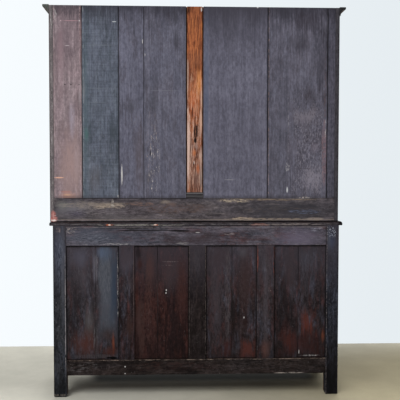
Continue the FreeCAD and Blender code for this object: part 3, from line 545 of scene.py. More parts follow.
BOARD_6 = CORNICE_SHADE + (
    # The dark patches near the top, at 1915 and 1890 high, are painted shade under the cornice
    stain_and_shade(-430, 1915, 80, 60, (56, 55, 64), 0.65),
    stain_and_shade(-648, 1825, 30, 90, (48, 45, 52), 0.7),
    stain_and_shade(-648, 1509, 30, 80, (52, 46, 52), 0.65),
    stain_and_shade(-442, 1376, 30, 45, (112, 110, 126), 0.5),
    stain_and_shade(-570, 1890, 100, 80, (54, 50, 58), 0.65),
    stain_and_shade(-528, 1771, 60, 70, (62, 59, 68), 0.55),
    stain_and_shade(-635, 1700, 40, 260, (52, 49, 57), 0.55),
    stain_and_shade(-580, 1515, 60, 50, (66, 62, 70), 0.5, ragged=0.9),
    flecks(-550, 1415, 80, 50, (126, 120, 132), 0.75, 0.44, ragged=0.9, soft=0.9),
    stain_and_shade(-600, 1290, 60, 80, (68, 62, 70), 0.5, ragged=0.9),
    flecks(-588, 1105, 75, 90, (140, 135, 149), 0.75, 0.42, ragged=0.9, soft=0.9),
    flecks(-575, 1280, 100, 340, (60, 54, 62), 0.55, 0.55, boxy=True),
    flecks(-570, 1230, 90, 280, (142, 136, 147), 0.6, -0.57, boxy=True),
    flecks(-545, 1375, 20, 60, (132, 126, 140), 0.4, 0.55),
    flecks(-652, 1500, 8, 260, (108, 88, 88), 0.4, 0.52),
    flecks(-468, 1385, 14, 45, (146, 142, 154), 0.5, 0.56),
    stain_and_shade(-602, 1258, 30, 35, (124, 116, 130), 0.5),
    flecks(-650, 1212, 14, 230, (134, 106, 113), 0.5, 0.47),
    flecks(-648, 1212, 13, 220, (180, 162, 168), 0.5, 0.6),
    Mark(-544, 1151, 78, 1.6, (54, 48, 54), 0.6, ragged=0.6),
    flecks(-655, 1360, 4, 60, CHALK, 0.7, 0.52),
    Mark(-478, 1090, 1.8, 75, DIRT_AND_SHADOW_BLACK, 0.8, ragged=0.3),
    flecks(-467, 1300, 2.2, 280, (130, 126, 136), 0.6, 0.5),
    Mark(-463, 1046, 3.8, 18, (206, 208, 214), 0.9, ragged=0.8),
    flecks(-464, 1160, 12, 35, CHALK, 0.6, 0.56),
    upright(-367.5, (158, 130, 122), 2.2, 0.7, broken=0.54),
) + seams(-362.5, -663) + FAINT_FOOT + (
    flecks(-552, 1006, 40, 7, (178, 170, 166), 0.8, 0.5),
)

BOARD_7 = CORNICE_SHADE + seams(-663) + seams(-703, strength=0.3) + FAINT_FOOT

CHIP = (
    stain_and_shade(703, 900, 20, 20, (184, 118, 112), 0.9, ragged=0.7, soft=0.6),
    stain_and_shade(707, 922, 13, 24, (174, 112, 108), 0.9, ragged=0.7, soft=0.7),
    flecks(704, 908, 18, 30, (132, 70, 68), 0.6, 0.54),
    flecks(704, 910, 16, 26, (224, 190, 186), 0.7, -0.56),
    stain_and_shade(703, 893, 17, 6, (242, 230, 228), 0.9, ragged=0.6, soft=0.7),
)

RACK_RAIL = (
    stain_and_shade(516, 973, 35, 16, (144, 132, 126), 0.5),
    stain_and_shade(117, 973, 35, 16, (126, 108, 104), 0.5),
    stain_and_shade(-163, 976, 50, 16, (62, 57, 59), 0.5),
    stain_and_shade(-450, 945, 360, 90, (56, 55, 61), 0.75, 0.8),
    stain_and_shade(610, 945, 120, 60, (110, 107, 114), 0.8),
    flecks(660, 968, 50, 30, (118, 118, 116), 0.6, 0.46, soft=0.9),
    stain_and_shade(590, 925, 70, 26, (94, 88, 108), 0.6),
    flecks(440, 968, 90, 20, (158, 142, 126), 0.6, 0.42, soft=0.9),
    flecks(400, 910, 300, 20, (92, 88, 91), 0.6, 0.4, soft=0.9),
    flecks(500, 968, 180, 22, (138, 128, 120), 0.75, 0.5),
    flecks(470, 945, 140, 35, (120, 114, 118), 0.6, 0.52),
    flecks(560, 925, 120, 26, (58, 54, 58), 0.65, -0.5),
    flecks(300, 925, 120, 26, (54, 48, 52), 0.6, -0.5),
    flecks(430, 962, 100, 14, (172, 154, 138), 0.75, 0.55),
    flecks(413, 975, 9, 28, (176, 168, 162), 0.75, 0.48),
    flecks(270, 975, 80, 12, (124, 98, 88), 0.6, 0.5),
    flecks(150, 984, 35, 12, (140, 128, 120), 0.7, 0.42, soft=0.8),
    flecks(100, 950, 200, 30, (96, 76, 70), 0.55, 0.52),
    flecks(-20, 955, 100, 20, (84, 74, 76), 0.6, -0.5),
    flecks(-370, 996, 310, 6, TAN, 0.85, 0.5),
    flecks(-190, 990, 100, 11, (172, 158, 142), 0.9, 0.5),
    flecks(-380, 897, 310, 6, (142, 128, 116), 0.85, 0.48),
    flecks(-240, 900, 70, 10, (172, 154, 136), 0.9, 0.49),
    flecks(-400, 945, 250, 20, (92, 80, 76), 0.5, 0.56),
    flecks(-555, 935, 90, 13, (92, 99, 122), 0.75, 0.52),
    Mark(340, 1003, 420, 3, DIRT_AND_SHADOW_BLACK, 0.7, boxy=True),
    level(895.5, (124, 114, 110), 4, 0.65, broken=0.42),
    flecks(-600, 898, 60, 8, (136, 125, 120), 0.8, 0.4),
    level(886, BLACK, 4.5, 1.0),
) + CHIP

# Painted shade down the outer edge of this side of the rack, which is turned away from the light
RACK_SIDE_LEFT = (upright(-722.5, (34, 33, 37), 8, 0.6, soft=1.0), level(886, BLACK, 5, 1.0))
RACK_SIDE = (
    upright(704, DIRT_AND_SHADOW_BLACK, 3, 0.35, soft=0.6),
    upright(722.5, (72, 64, 64), 4, 0.6),
    upright(710, CHALK, 6, 0.45, broken=0.58),
    level(886, BLACK, 7, 1.0),
) + CHIP

TOP_EDGE = (
    level(872.5, (112, 106, 108), 3.5, 0.8, broken=0.54),
    # A pale broken line along the moulding's edge: partly worn paint, partly a painted highlight
    flecks(260, 868, 240, 4.5, (150, 147, 142), 0.8, 0.46),
    flecks(430, 870, 30, 6, (130, 72, 54), 0.7, 0.46),
    flecks(-330, 870, 50, 7, (150, 84, 66), 0.85, 0.48),
    flecks(-470, 871, 200, 7, (128, 118, 118), 0.75, 0.48),
    level(882, (46, 32, 32), 4, 0.7, broken=0.48),
    level(886, BLACK, 3, 1.0),
    Mark(436, 869, 12, 6, (166, 92, 66), 0.9, ragged=0.7),
    Mark(429, 870, 8, 4, (230, 206, 196), 0.9, ragged=0.7),
    Mark(196, 869, 13, 6, (150, 86, 66), 0.9, ragged=0.7),
    Mark(200, 871, 8, 4, (230, 206, 196), 0.9, ragged=0.7),
    Mark(745, 876, 30, 30, DIRT_AND_SHADOW_BLACK, 0.9),
    Mark(-745, 876, 30, 30, DIRT_AND_SHADOW_BLACK, 0.9),
)

# The dark lines and patches along the top of this rail, from 840 to 866 high, are painted shadow under the
# base top's moulding and the split strip below it
TOP_RAIL = (
    stain_and_shade(476, 853, 40, 14, (26, 25, 30), 0.7),
    stain_and_shade(500, 810, 250, 90, (78, 83, 97), 0.65, 1.0),
    stain_and_shade(-20, 800, 200, 80, (66, 55, 60), 0.6, 1.0),
    stain_and_shade(-520, 800, 180, 80, (104, 97, 115), 0.8, 1.0),
    stain_and_shade(220, 849, 200, 10, (50, 50, 54), 0.6),
    stain_and_shade(280, 855.5, 220, 6, DIRT_AND_SHADOW_BLACK, 0.85, 0.6),
    flecks(400, 773.5, 95, 6, (172, 168, 172), 0.7, 0.52),
    flecks(60, 776, 35, 8, (150, 146, 148), 0.6, 0.5),
    Mark(-13, 831, 14, 2, CHALK, 0.7, ragged=0.6),
    Mark(240, 842, 210, 4, DIRT_AND_SHADOW_BLACK, 0.85, ragged=0.4),
    Mark(80, 840, 80, 6, DIRT_AND_SHADOW_BLACK, 0.95, ragged=0.4),
    level(770, (132, 126, 132), 6, 0.7, broken=0.58),
    level(810, (108, 106, 114), 50, 0.55, broken=0.62),
    level(810, (44, 40, 44), 50, 0.6, broken=-0.62),
    level(852, (118, 108, 108), 10, 0.6, broken=0.6),
    level(858, (120, 114, 116), 4, 0.5, broken=0.48),
    stain_and_shade(420, 850, 50, 13, (44, 44, 50), 0.5),
    flecks(622, 840, 28, 26, (186, 174, 170), 0.8, 0.57),
    flecks(530, 800, 120, 40, (112, 114, 126), 0.6, 0.54),
    flecks(500, 800, 140, 50, (46, 46, 54), 0.6, -0.56),
    flecks(-200, 800, 90, 40, (96, 58, 56), 0.5, 0.54),
    flecks(-170, 825, 30, 8, (150, 142, 146), 0.6, 0.52),
    flecks(-520, 820, 100, 30, (128, 122, 136), 0.5, 0.58),
    flecks(-610, 846, 50, 12, (152, 152, 168), 0.65, 0.55),
    level(866, DIRT_AND_SHADOW_BLACK, 5, 0.8),
    level(764, DIRT_AND_SHADOW_BLACK, 4, 0.8),
) + seams(647, -665, strength=0.7)

FOOT_RAIL = (
    level(186, (146, 130, 120), 2.6, 0.75, broken=0.54),
    flecks(550, 147, 110, 35, (100, 96, 98), 0.75, 0.57),
    flecks(100, 150, 250, 30, (56, 38, 36), 0.6, 0.52),
    flecks(250, 140, 120, 20, (16, 12, 12), 0.6, -0.5),
    flecks(-475, 114, 90, 4, (172, 162, 156), 0.85, 0.5),
    flecks(-300, 150, 320, 25, (72, 66, 68), 0.55, 0.57),
    Mark(353.5, 153, 4, 5, CHALK, 0.9),
    Mark(353.5, 118, 3, 4, CHALK, 0.9),
    # Painted shade: the rail darker along its foot in the middle, where the shadow beneath it lies
    stain_and_shade(60, 135, 130, 30, (12, 10, 10), 0.65),
)

# Painted shadow along the top of each panel, where it is set back under the rail, and a dark joint along
# its foot
PANEL_SHADOW_AND_JOINT = (level(765, DIRT_AND_SHADOW_BLACK, 10, 0.75, soft=0.9), level(188, DIRT_AND_SHADOW_BLACK, 6, 0.7))
# Painted light and shade on the base: lighter towards its top and darker towards its foot
BASE_LIGHT_AND_SHADE = (
    level(790, (70, 65, 74), 340, 0.5, soft=1.0, ragged=0.2),
    level(80, (22, 16, 14), 400, 0.5, soft=1.0, ragged=0.2),
)

PANEL_1 = BASE_LIGHT_AND_SHADE + (
    stain_and_shade(560, 620, 80, 160, (68, 63, 70), 0.6, 1.0),
    stain_and_shade(575, 705, 70, 70, (84, 83, 97), 0.5),
    stain_and_shade(441, 530, 56, 280, (74, 78, 88), 0.75, ragged=0.25, soft=0.6, boxy=True),
    flecks(450, 620, 40, 180, (92, 95, 104), 0.55, 0.5),
    stain_and_shade(406, 550, 28, 250, (48, 59, 76), 0.75, ragged=0.3, boxy=True),
    stain_and_shade(446, 726, 50, 60, (76, 88, 108), 0.6),
    stain_and_shade(600, 450, 40, 300, (34, 29, 32), 0.7, 1.0),
    flecks(520, 520, 40, 240, (36, 31, 35), 0.6, -0.48, soft=0.8),
    stain_and_shade(532, 385, 32, 130, (86, 81, 83), 0.6, 1.0),
    stain_and_shade(555, 270, 90, 90, (76, 46, 42), 0.75),
    flecks(500, 280, 14, 90, (86, 84, 88), 0.6, 0.5),
    flecks(413, 275, 10, 85, (118, 62, 42), 0.7, 0.4, soft=0.9),
    stain_and_shade(440, 313, 45, 50, (56, 41, 39), 0.55),
    stain_and_shade(430, 230, 45, 40, (66, 36, 30), 0.7, 0.8),
    stain_and_shade(503, 664, 18, 110, (108, 107, 120), 0.6),
    stain_and_shade(474, 731, 32, 45, (84, 96, 118), 0.55),
    flecks(492, 640, 3, 110, CHALK, 0.4, 0.58),
    flecks(388.5, 550, 4, 200, CHALK, 0.85, 0.55),
    flecks(560, 450, 120, 300, (96, 92, 97), 0.5, 0.62),
    flecks(490, 205, 160, 12, (70, 66, 70), 0.6, 0.48),
    upright(500.7, DIRT_AND_SHADOW_BLACK, 2, 0.25),
    flecks(498.5, 660, 4, 100, (120, 116, 120), 0.4, 0.5),
) + seams(647, 385) + PANEL_SHADOW_AND_JOINT + (
    Mark(420, 197, 34, 7, BLACK, 1.0),
)

PANEL_2 = BASE_LIGHT_AND_SHADE + (
    stain_and_shade(285, 731, 20, 40, (20, 15, 17), 0.65, 0.8),
    stain_and_shade(287, 392, 18, 130, (74, 54, 52), 0.5),
    stain_and_shade(278, 669, 18, 45, (52, 27, 23), 0.6, 0.8),
    stain_and_shade(293, 528, 9, 140, (60, 33, 29), 0.5),
    flecks(235, 500, 20, 280, (72, 50, 47), 0.65, 0.5),
    stain_and_shade(225, 640, 30, 120, (72, 52, 52), 0.65),
    flecks(270, 350, 20, 200, (66, 48, 46), 0.6, 0.46),
    flecks(65, 550, 40, 220, (66, 40, 36), 0.6, 0.44, soft=0.8),
    stain_and_shade(130, 620, 60, 120, (62, 52, 56), 0.65),
    stain_and_shade(105, 330, 60, 180, (26, 18, 19), 0.65),
    flecks(215, 360, 20, 160, (60, 38, 36), 0.5, 0.48),
    flecks(130, 683, 45, 2.8, (116, 106, 110), 0.7, 0.5),
    flecks(140, 665, 35, 2.8, (110, 100, 104), 0.65, 0.5),
    Mark(150, 531, 8, 6, BLACK, 0.9, ragged=0.3),
    Mark(145.5, 539, 3.2, 5.5, CHALK, 0.95, ragged=0.2),
    Mark(147, 524.5, 3.2, 5, CHALK, 0.95, ragged=0.2),
    flecks(170, 450, 130, 280, (92, 78, 80), 0.45, 0.63),
    upright(190, DIRT_AND_SHADOW_BLACK, 2, 0.25),
    Mark(190, 726, 2, 45, DIRT_AND_SHADOW_BLACK, 0.6),
) + seams(32.7) + PANEL_SHADOW_AND_JOINT

PANEL_3 = BASE_LIGHT_AND_SHADE + (
    stain_and_shade(-243, 731, 35, 45, (86, 84, 92), 0.45),
    flecks(-105, 480, 50, 340, (66, 60, 66), 0.6, 0.44, soft=0.8),
    stain_and_shade(-120, 700, 80, 80, (60, 50, 55), 0.65),
    flecks(-165, 500, 18, 300, (82, 76, 80), 0.55, 0.5),
    stain_and_shade(-255, 580, 60, 200, (62, 44, 43), 0.5),
    stain_and_shade(-195, 360, 20, 180, (26, 20, 20), 0.75),
    stain_and_shade(-255, 370, 50, 60, (44, 30, 30), 0.6),
    stain_and_shade(-266, 235, 50, 60, (92, 50, 44), 0.6, ragged=1.0, boxy=True),
    stain_and_shade(-160, 245, 35, 60, (60, 33, 32), 0.6, ragged=1.0, boxy=True),
    Mark(-248, 397, 3, 7, CHALK, 0.95, ragged=0.3),
    flecks(-190, 460, 120, 280, (84, 76, 79), 0.4, 0.63),
    upright(-186.5, DIRT_AND_SHADOW_BLACK, 2, 0.6),
) + seams(-54.3) + seams(-312, strength=0.6) + PANEL_SHADOW_AND_JOINT

PANEL_4 = BASE_LIGHT_AND_SHADE + (
    stain_and_shade(-560, 700, 60, 70, (66, 65, 75), 0.5),
    flecks(-570, 660, 50, 90, (76, 74, 84), 0.45, 0.54),
    stain_and_shade(-480, 620, 50, 180, (62, 54, 59), 0.6),
    stain_and_shade(-455, 470, 40, 220, (29, 24, 26), 0.5),
    flecks(-555, 520, 25, 180, (66, 62, 68), 0.45, 0.5),
    stain_and_shade(-535, 265, 130, 75, (58, 33, 32), 0.6, ragged=0.8, boxy=True),
    stain_and_shade(-470, 285, 45, 60, (74, 40, 36), 0.55, ragged=1.1),
    stain_and_shade(-570, 370, 50, 70, (96, 50, 42), 0.6, ragged=1.1, boxy=True),
    stain_and_shade(-652, 300, 12, 50, (112, 64, 46), 0.6, ragged=0.8),
    Mark(-530, 219, 2, 14, CHALK, 0.8, ragged=0.3),
    flecks(-585, 200, 62, 4, CHALK, 0.75, 0.53),
    upright(-523.6, DIRT_AND_SHADOW_BLACK, 2, 0.6),
) + seams(-402, -665) + PANEL_SHADOW_AND_JOINT

MUNTIN_1 = BASE_LIGHT_AND_SHADE + (
    stain_and_shade(345, 684, 40, 90, (80, 76, 88), 0.5),
    stain_and_shade(345, 700, 40, 60, (62, 54, 60), 0.7, 1.0),
    flecks(335, 560, 30, 50, (88, 80, 83), 0.4, 0.55),
    stain_and_shade(330, 360, 30, 100, (60, 44, 42), 0.6, 1.0),
    flecks(308.5, 520, 4, 240, (92, 78, 78), 0.5, 0.46),
) + seams(385)
MUNTIN_2 = BASE_LIGHT_AND_SHADE + (
    flecks(-10, 680, 20, 80, (66, 62, 68), 0.5, 0.48),
    upright(30.5, (140, 126, 122), 1.6, 0.7, broken=0.5),
    upright(-52.5, (150, 134, 128), 1.6, 0.75, broken=0.48),
) + seams(32.7, -54.3)
MUNTIN_3 = BASE_LIGHT_AND_SHADE + (
    flecks(-357, 500, 20, 340, (80, 74, 80), 0.6, 0.44, soft=0.9),
    flecks(-316, 700, 4, 90, (128, 66, 52), 0.8, 0.48),
    flecks(-398, 690, 4, 100, (118, 62, 50), 0.75, 0.5),
    stain_and_shade(-357, 240, 30, 70, (92, 66, 62), 0.6),
    upright(-315, (120, 110, 112), 1.6, 0.6, broken=0.55),
) + seams(-312, strength=0.6) + seams(-402)

POST_RIGHT = BASE_LIGHT_AND_SHADE[:1] + (
    stain_and_shade(680, 720, 50, 200, (68, 73, 89), 0.75, 1.0),
    stain_and_shade(680, 50, 60, 120, (18, 19, 21), 0.85, 1.0),
    upright(712, (22, 23, 26), 20, 0.65, ragged=0.2, soft=1.0),
    stain_and_shade(662, 620, 14, 400, (88, 90, 100), 0.45, ragged=0.3, soft=1.0),
    flecks(650.5, 420, 2.4, 350, (156, 150, 154), 0.75, 0.47),
    flecks(680, 720, 28, 160, (98, 102, 116), 0.6, 0.5, ragged=1.0, soft=0.9),
    flecks(680, 620, 34, 260, (30, 31, 36), 0.6, -0.52, ragged=1.0, soft=0.9),
    flecks(685, 845, 20, 16, (150, 132, 130), 0.6, 0.56),
    flecks(680, 12, 50, 6, (120, 112, 104), 0.6, 0.5),
)
POST_LEFT = BASE_LIGHT_AND_SHADE + (
    stain_and_shade(-690, 790, 30, 80, (64, 69, 88), 0.8, 1.0),
    flecks(-700, 550, 24, 300, (70, 73, 84), 0.5, 0.56),
    flecks(-690, 832, 30, 36, (180, 186, 204), 0.95, 0.57),
    flecks(-690, 820, 30, 50, BLACK, 0.8, -0.58),
    stain_and_shade(-700, 50, 60, 200, (10, 10, 11), 0.9, 1.0),
    upright(-730, (20, 20, 23), 16, 0.6, ragged=0.2, soft=1.0),
    stain_and_shade(-678, 800, 14, 120, (80, 82, 94), 0.5, ragged=0.3, soft=1.0),
    upright(-668, (120, 112, 112), 2, 0.7, broken=0.52),
)


# Tints and edges that several pieces share
MAUVE_TINTS = (Tint((156, 142, 148), 0.55), Tint((106, 92, 99), 0.5))
TEAL_TINTS = (Tint((100, 106, 118), 0.5), Tint((64, 70, 78), 0.5))
SLATE_TINTS = (Tint((104, 104, 120), 0.4), Tint((78, 74, 84), 0.5))
RAIL_TINTS = (Tint((108, 100, 100), 0.5, 0.58), Tint((50, 46, 51), 0.6))
BASE_TINTS = (Tint((66, 68, 80), 0.5), Tint((66, 38, 36), 0.5))
RED_TINTS = (Tint((26, 17, 18), 0.6), Tint((72, 42, 38), 0.5))
DARK_TINTS = (Tint((58, 52, 54), 0.5), Tint((14, 11, 12), 0.6))
POST_TINTS = (Tint((66, 70, 82), 0.5), Tint((18, 18, 21), 0.6))
OAK_TINTS = (Tint((44, 28, 21), 0.6), Tint((112, 76, 50), 0.5, 0.58))
DARK_EDGE = Tint((40, 40, 44), 0.5, 0.5)
OAK_EDGE = Tint((146, 106, 74), 0.75, 0.5)


def framed(colour, second, tints, marks):
    """The look of a panel or muntin of the base: dark, streaky and gritty."""
    return Look(colour, second, streak=0.38, mottle=0.45, grit=0.45, specks=0.4, tints=tints, marks=marks)


def lying(colour, second, **more):
    """The look of a piece whose grain runs across the back."""
    return Look(colour, second, grain="x", **more)


BACK_LOOKS = {
    "back_board_1": Look(
        MAUVE, PALE_MAUVE, mottle=0.25, saw=0.05, specks=0.35, tints=MAUVE_TINTS, marks=BOARD_1),
    "back_board_2": Look(TEAL, (95, 100, 115), saw=0.11, specks=0.3, tints=TEAL_TINTS, marks=BOARD_2),
    "back_board_3": Look((94, 94, 110), (105, 105, 122), specks=0.25, tints=SLATE_TINTS, marks=BOARD_3),
    "back_board_4": Look(SLATE, PALE_SLATE, specks=0.3, tints=SLATE_TINTS, marks=BOARD_4),
    "centre_post": Look(
        RAW_ORANGE, RAW_BROWN, streak=0.4, mottle=0.3, rough=0.7, fleck=LONG_FLECKS, marks=POST),
    "back_board_5": Look(
        (93, 92, 107), (105, 104, 120), streak=0.2, mottle=0.12, specks=0.2, marks=BOARD_5),
    "back_board_6": Look(
        (86, 85, 98), (97, 95, 109), fleck=ROUND_FLECKS, specks=0.35, tints=SLATE_TINTS, marks=BOARD_6),
    "back_board_7": Look((73, 72, 84), (81, 79, 91), grit=0.3, specks=0.4, marks=BOARD_7),
    "rack_bottom_rail": lying(
        (74, 70, 76), (84, 78, 83), mottle=0.35, grit=0.35, specks=0.5, tints=RAIL_TINTS, marks=RACK_RAIL),
    "post_packing_block": lying((50, 48, 52), (60, 57, 60), marks=PACKING),
    "back_top_rail": lying(
        (73, 70, 79), (84, 79, 88), mottle=0.42, grit=0.35, specks=0.6, tints=BASE_TINTS, marks=TOP_RAIL),
    "back_bottom_rail": lying(
        (34, 28, 27), (44, 37, 36), mottle=0.5, grit=0.45, specks=0.4, tints=DARK_TINTS, marks=FOOT_RAIL),
    "back_panel_1": framed((45, 41, 45), (54, 50, 55), BASE_TINTS, PANEL_1),
    "back_panel_2": framed((38, 24, 25), (47, 30, 30), RED_TINTS, PANEL_2),
    "back_panel_3": framed((39, 32, 34), (46, 38, 40), BASE_TINTS, PANEL_3),
    "back_panel_4": framed((37, 31, 33), (42, 35, 38), BASE_TINTS, PANEL_4),
    "back_muntin_1": framed((36, 28, 30), (42, 33, 36), BASE_TINTS, MUNTIN_1),
    "back_muntin_2": framed((33, 27, 28), (40, 33, 33), DARK_TINTS, MUNTIN_2),
    "back_muntin_3": framed((48, 42, 45), (54, 47, 50), BASE_TINTS, MUNTIN_3),
    "rear_post_left": Look(
        (33, 34, 42), (40, 41, 50), mottle=0.5, grit=0.5, specks=0.6, tints=POST_TINTS, edge=DARK_EDGE,
        fleck=SHORT_FLECKS, deep=0.03, marks=POST_LEFT),
    "rear_post_right": Look(
        (45, 46, 51), (52, 53, 58), mottle=0.45, grit=0.5, specks=0.7, tints=POST_TINTS, edge=DARK_EDGE,
        deep=0.03, marks=POST_RIGHT),
    "base_top_rear_board": lying(
        (48, 45, 50), (60, 56, 60), grit=0.35, specks=0.4, deep=0.02, marks=TOP_EDGE),
    # Darker than the other side of the rack: painted shade, as this side is turned away from the light
    "rack_side_left": Look((58, 56, 62), (67, 64, 70), grit=0.3, specks=0.3, marks=RACK_SIDE_LEFT),
    "rack_side_right": Look((102, 96, 99), (118, 111, 114), mottle=0.3, marks=RACK_SIDE),
    "cornice_right": Look((84, 89, 86), (70, 74, 72), grain="y", deep=0.012),
    "cornice_left": Look((34, 34, 36), (44, 44, 46), grain="y", deep=0.012),
}
OAK = Look(
    (68, 44, 31), (90, 60, 41), streak=0.42, grit=0.1, pores=0.45, rough=0.42, gloss=0.16,
    tints=OAK_TINTS, edge=OAK_EDGE)
OAK_LYING = OAK._replace(grain="x")
LINING = Look((150, 116, 82), (128, 96, 66), grain="y", streak=0.3, grit=0.08, rough=0.7, gloss=0.1)
LYING = ("front_top_rail", "front_drawer_rail", "front_apron", "shelf_lower", "shelf_middle", "shelf_upper",
         "frieze_board", "cornice_front", "rack_top_board", "base_top_front_board", "pot_boards",
         "drawer_left_front", "drawer_middle_front", "drawer_right_front", "pot_board_rails")


def look_of(node):
    """The look of any wooden piece: its own where the back shows it, plain oak or lining elsewhere."""
    if node in BACK_LOOKS:
        return BACK_LOOKS[node]
    if SLOT[node] == "inner_wood":
        return LINING
    return OAK_LYING if node in LYING else OAK


# Brass: its colours, the dirt on it, and how rough it is where it is rubbed and where it is dirty
BRASS = (168, 132, 70)
BRASS_DIRT = (104, 76, 40)
DIRT = Pattern(90, 90, 5, 0.65)
DIRT_FADES = (0.42, 0.72)
DULL_FADES = (0.35, 0.7)
BRASS_ROUGH = (0.24, 0.5)
BRASS_RELIEF = 0.0002


def brass():
    """Dulled brass: brighter where hands rub it, brown where dirt stays."""
    finish = Finish("brass", 1)
    dirt = finish.noise(DIRT)
    colour = finish.mix(finish.fade(dirt, *DIRT_FADES), tone(*BRASS), tone(*BRASS_DIRT))
    rough = finish.fade(dirt, *DULL_FADES, *BRASS_ROUGH)
    finish.set(Base_Color=colour, Metallic=1.0, Roughness=rough)
    finish.bump(dirt, BRASS_RELIEF)
    return finish.material


def new_piece(name, mesh):
    """An object of a mesh, in the scene."""
    piece = bpy.data.objects.new(name, mesh)
    bpy.context.scene.collection.objects.link(piece)
    return piece


def dress(piece, body, material):
    """Set a piece on its body and its finish."""
    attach(piece, body)
    piece.data.materials.clear()
    piece.data.materials.append(material)
    return piece


# Arrises: which edges are one, into what lengths they are cut, and how far they are rubbed and waver
ARRIS_ANGLE = math.radians(35)
ARRIS_SHORTEST = 0.012
ARRIS_STEP = 0.045
ARRIS_RUB = 0.0014
ARRIS_WAVER = 0.0006
WAVES = ((23, 1.0), (71, 0.5))

# Angles between faces: below which they are one flat, and above which shading shows an edge
FLAT_ANGLE = math.radians(1)
EDGE_ANGLE = math.radians(40)


def worn_copy(node):
    """A copy of a CAD piece whose long arrises are rubbed round and waver a little."""
    shape = solid_shape(frame["nodes"][node].data)
    bmesh.ops.dissolve_limit(shape, angle_limit=FLAT_ANGLE, verts=shape.verts, edges=shape.edges)
    sharp = [edge for edge in shape.edges if is_arris(edge)]
    pieces = []
    for edge in sharp:
        cuts = int(edge.calc_length() / ARRIS_STEP)
        parts = bmesh.ops.bisect_edges(shape, edges=[edge], cuts=cuts)["geom_split"] if cuts else []
        pieces += [edge] + [part for part in parts if isinstance(part, bmesh.types.BMEdge)]
    pieces = list(dict.fromkeys(pieces))
    layer = rub_down(shape, pieces, ARRIS_RUB)
    shape.normal_update()
    for vertex in shape.verts:
        if all(face[layer] for face in vertex.link_faces):
            drift = sum(share * noise.noise(vertex.co * waves) for waves, share in WAVES)
            vertex.co -= vertex.normal * ARRIS_WAVER * max(0.0, drift)
    return stand_in(f"{node}_worn", node, shape)


def solid_shape(mesh):
    """A shape of the mesh in which each closed solid is in one piece and none is joined to another."""
    shape, corners, waiting = bmesh.new(), {}, set()
    for face in mesh.polygons:
        places = [tuple(mesh.vertices[index].co) for index in face.vertices]
        if len(set(places)) < len(places):
            continue
        for place in places:
            if place not in corners:
                corners[place] = shape.verts.new(place)
        shape.faces.new([corners[place] for place in places])
        waiting ^= {frozenset(pair) for pair in zip(places, places[1:] + places[:1])}
        if not waiting:
            corners = {}
    shape.normal_update()
    return shape


def stand_in(name, node, shape):
    """Finish a shape as a piece with smooth shading that stands for a CAD node."""
    mesh = bpy.data.meshes.new(name)
    shape.to_mesh(mesh)
    shape.free()
    for face in mesh.polygons:
        face.use_smooth = True
    mesh.set_sharp_from_angle(angle=EDGE_ANGLE)
    piece = new_piece(name, mesh)
    piece.modifiers.new("even_shading", "WEIGHTED_NORMAL").keep_sharp = True
    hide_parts(node)
    return piece


def rub_down(shape, edges, rub):
    """Round the given edges and note in a layer which faces that made."""
    layer = shape.faces.layers.float.new(RUBBED)
    rounding = {"segments": 2, "profile": 0.5, "affect": "EDGES", "clamp_overlap": True}
    made = bmesh.ops.bevel(shape, geom=edges, offset=rub, **rounding)
    for face in made["faces"]:
        face[layer] = 1.0
    return layer


def is_arris(edge):
    """Whether an edge is a long sharp corner between two faces."""
    sharp = edge.is_manifold and edge.calc_face_angle(0) > ARRIS_ANGLE
    return sharp and edge.calc_length() > ARRIS_SHORTEST


# Front legs: the heights of their square blocks, how far those are rubbed, and how far a turning goes in
LATHE_SIDES = 40
LEG_BLOCKS = ((0.084, 0.238), (0.587, 0.866))
LEG_RUB = 0.0016
LEG_LAP = 0.002


def eased(start, end, power=1.0, steps=12):
    """Radii and heights of a smooth swell or hollow between two points of a turning."""
    run = []
    for step in range(steps + 1):
        share = step / steps
        blend = (0.5 - 0.5 * math.cos(math.pi * share)) ** power
        run.append((start[0] + (end[0] - start[0]) * blend, start[1] + (end[1] - start[1]) * share))
    return run


def bead(radius, core, low, high, steps=10):
    """Radii and heights of a half-round bead on a thinner core."""
    turns = [math.pi * step / steps for step in range(steps + 1)]
    middle, half = (low + high) / 2, (high - low) / 2
    return [(core + (radius - core) * math.sin(turn), middle - half * math.cos(turn)) for turn in turns]


LEG_VASE = (
    [(0.027, 0.238 - LEG_LAP)] + bead(0.027, 0.020, 0.238, 0.252) + [(0.0165, 0.2525), (0.0165, 0.256)]
    + eased((0.0165, 0.256), (0.025, 0.344)) + eased((0.025, 0.344), (0.0138, 0.522), 0.8, 20)
    + [(0.0152, 0.5225), (0.0152, 0.5265)] + bead(0.022, 0.016, 0.527, 0.541)
    + [(0.0146, 0.5415), (0.0146, 0.545)] + eased((0.0146, 0.545), (0.0275, 0.578), 1.5)
    + bead(0.028, 0.0262, 0.579, 0.587) + [(0.026, 0.587 + LEG_LAP)]
)
LEG_FOOT = (
    [(0.0165, 0.0), (0.0192, 0.0012), (0.020, 0.004)] + eased((0.020, 0.004), (0.0262, 0.070))
    + bead(0.028, 0.0262, 0.072, 0.084) + [(0.026, 0.084 + LEG_LAP)]
)


def round_turn(steps):
    """The angles of a full turn in equal steps."""
    return [2 * math.pi * step / steps for step in range(steps)]


def skin(shape, rings):
    """Join closed rings of points by faces, and close the first and the last ring."""
    rows = [[shape.verts.new(point) for point in ring] for ring in rings]
    for near, far in zip(rows, rows[1:]):
        for index in range(len(near)):
            shape.faces.new((near[index - 1], near[index], far[index], far[index - 1]))
    shape.faces.new(reversed(rows[0]))
    shape.faces.new(rows[-1])


def lathe(shape, profile, where):
    """Turn a profile of radii and heights round an axis."""
    circle = [Vector((math.cos(turn), math.sin(turn), 0)) for turn in round_turn(LATHE_SIDES)]
    rings = []
    for radius, height in profile:
        rings.append([where @ (point * radius + Vector((0, 0, height))) for point in circle])
    skin(shape, rings)


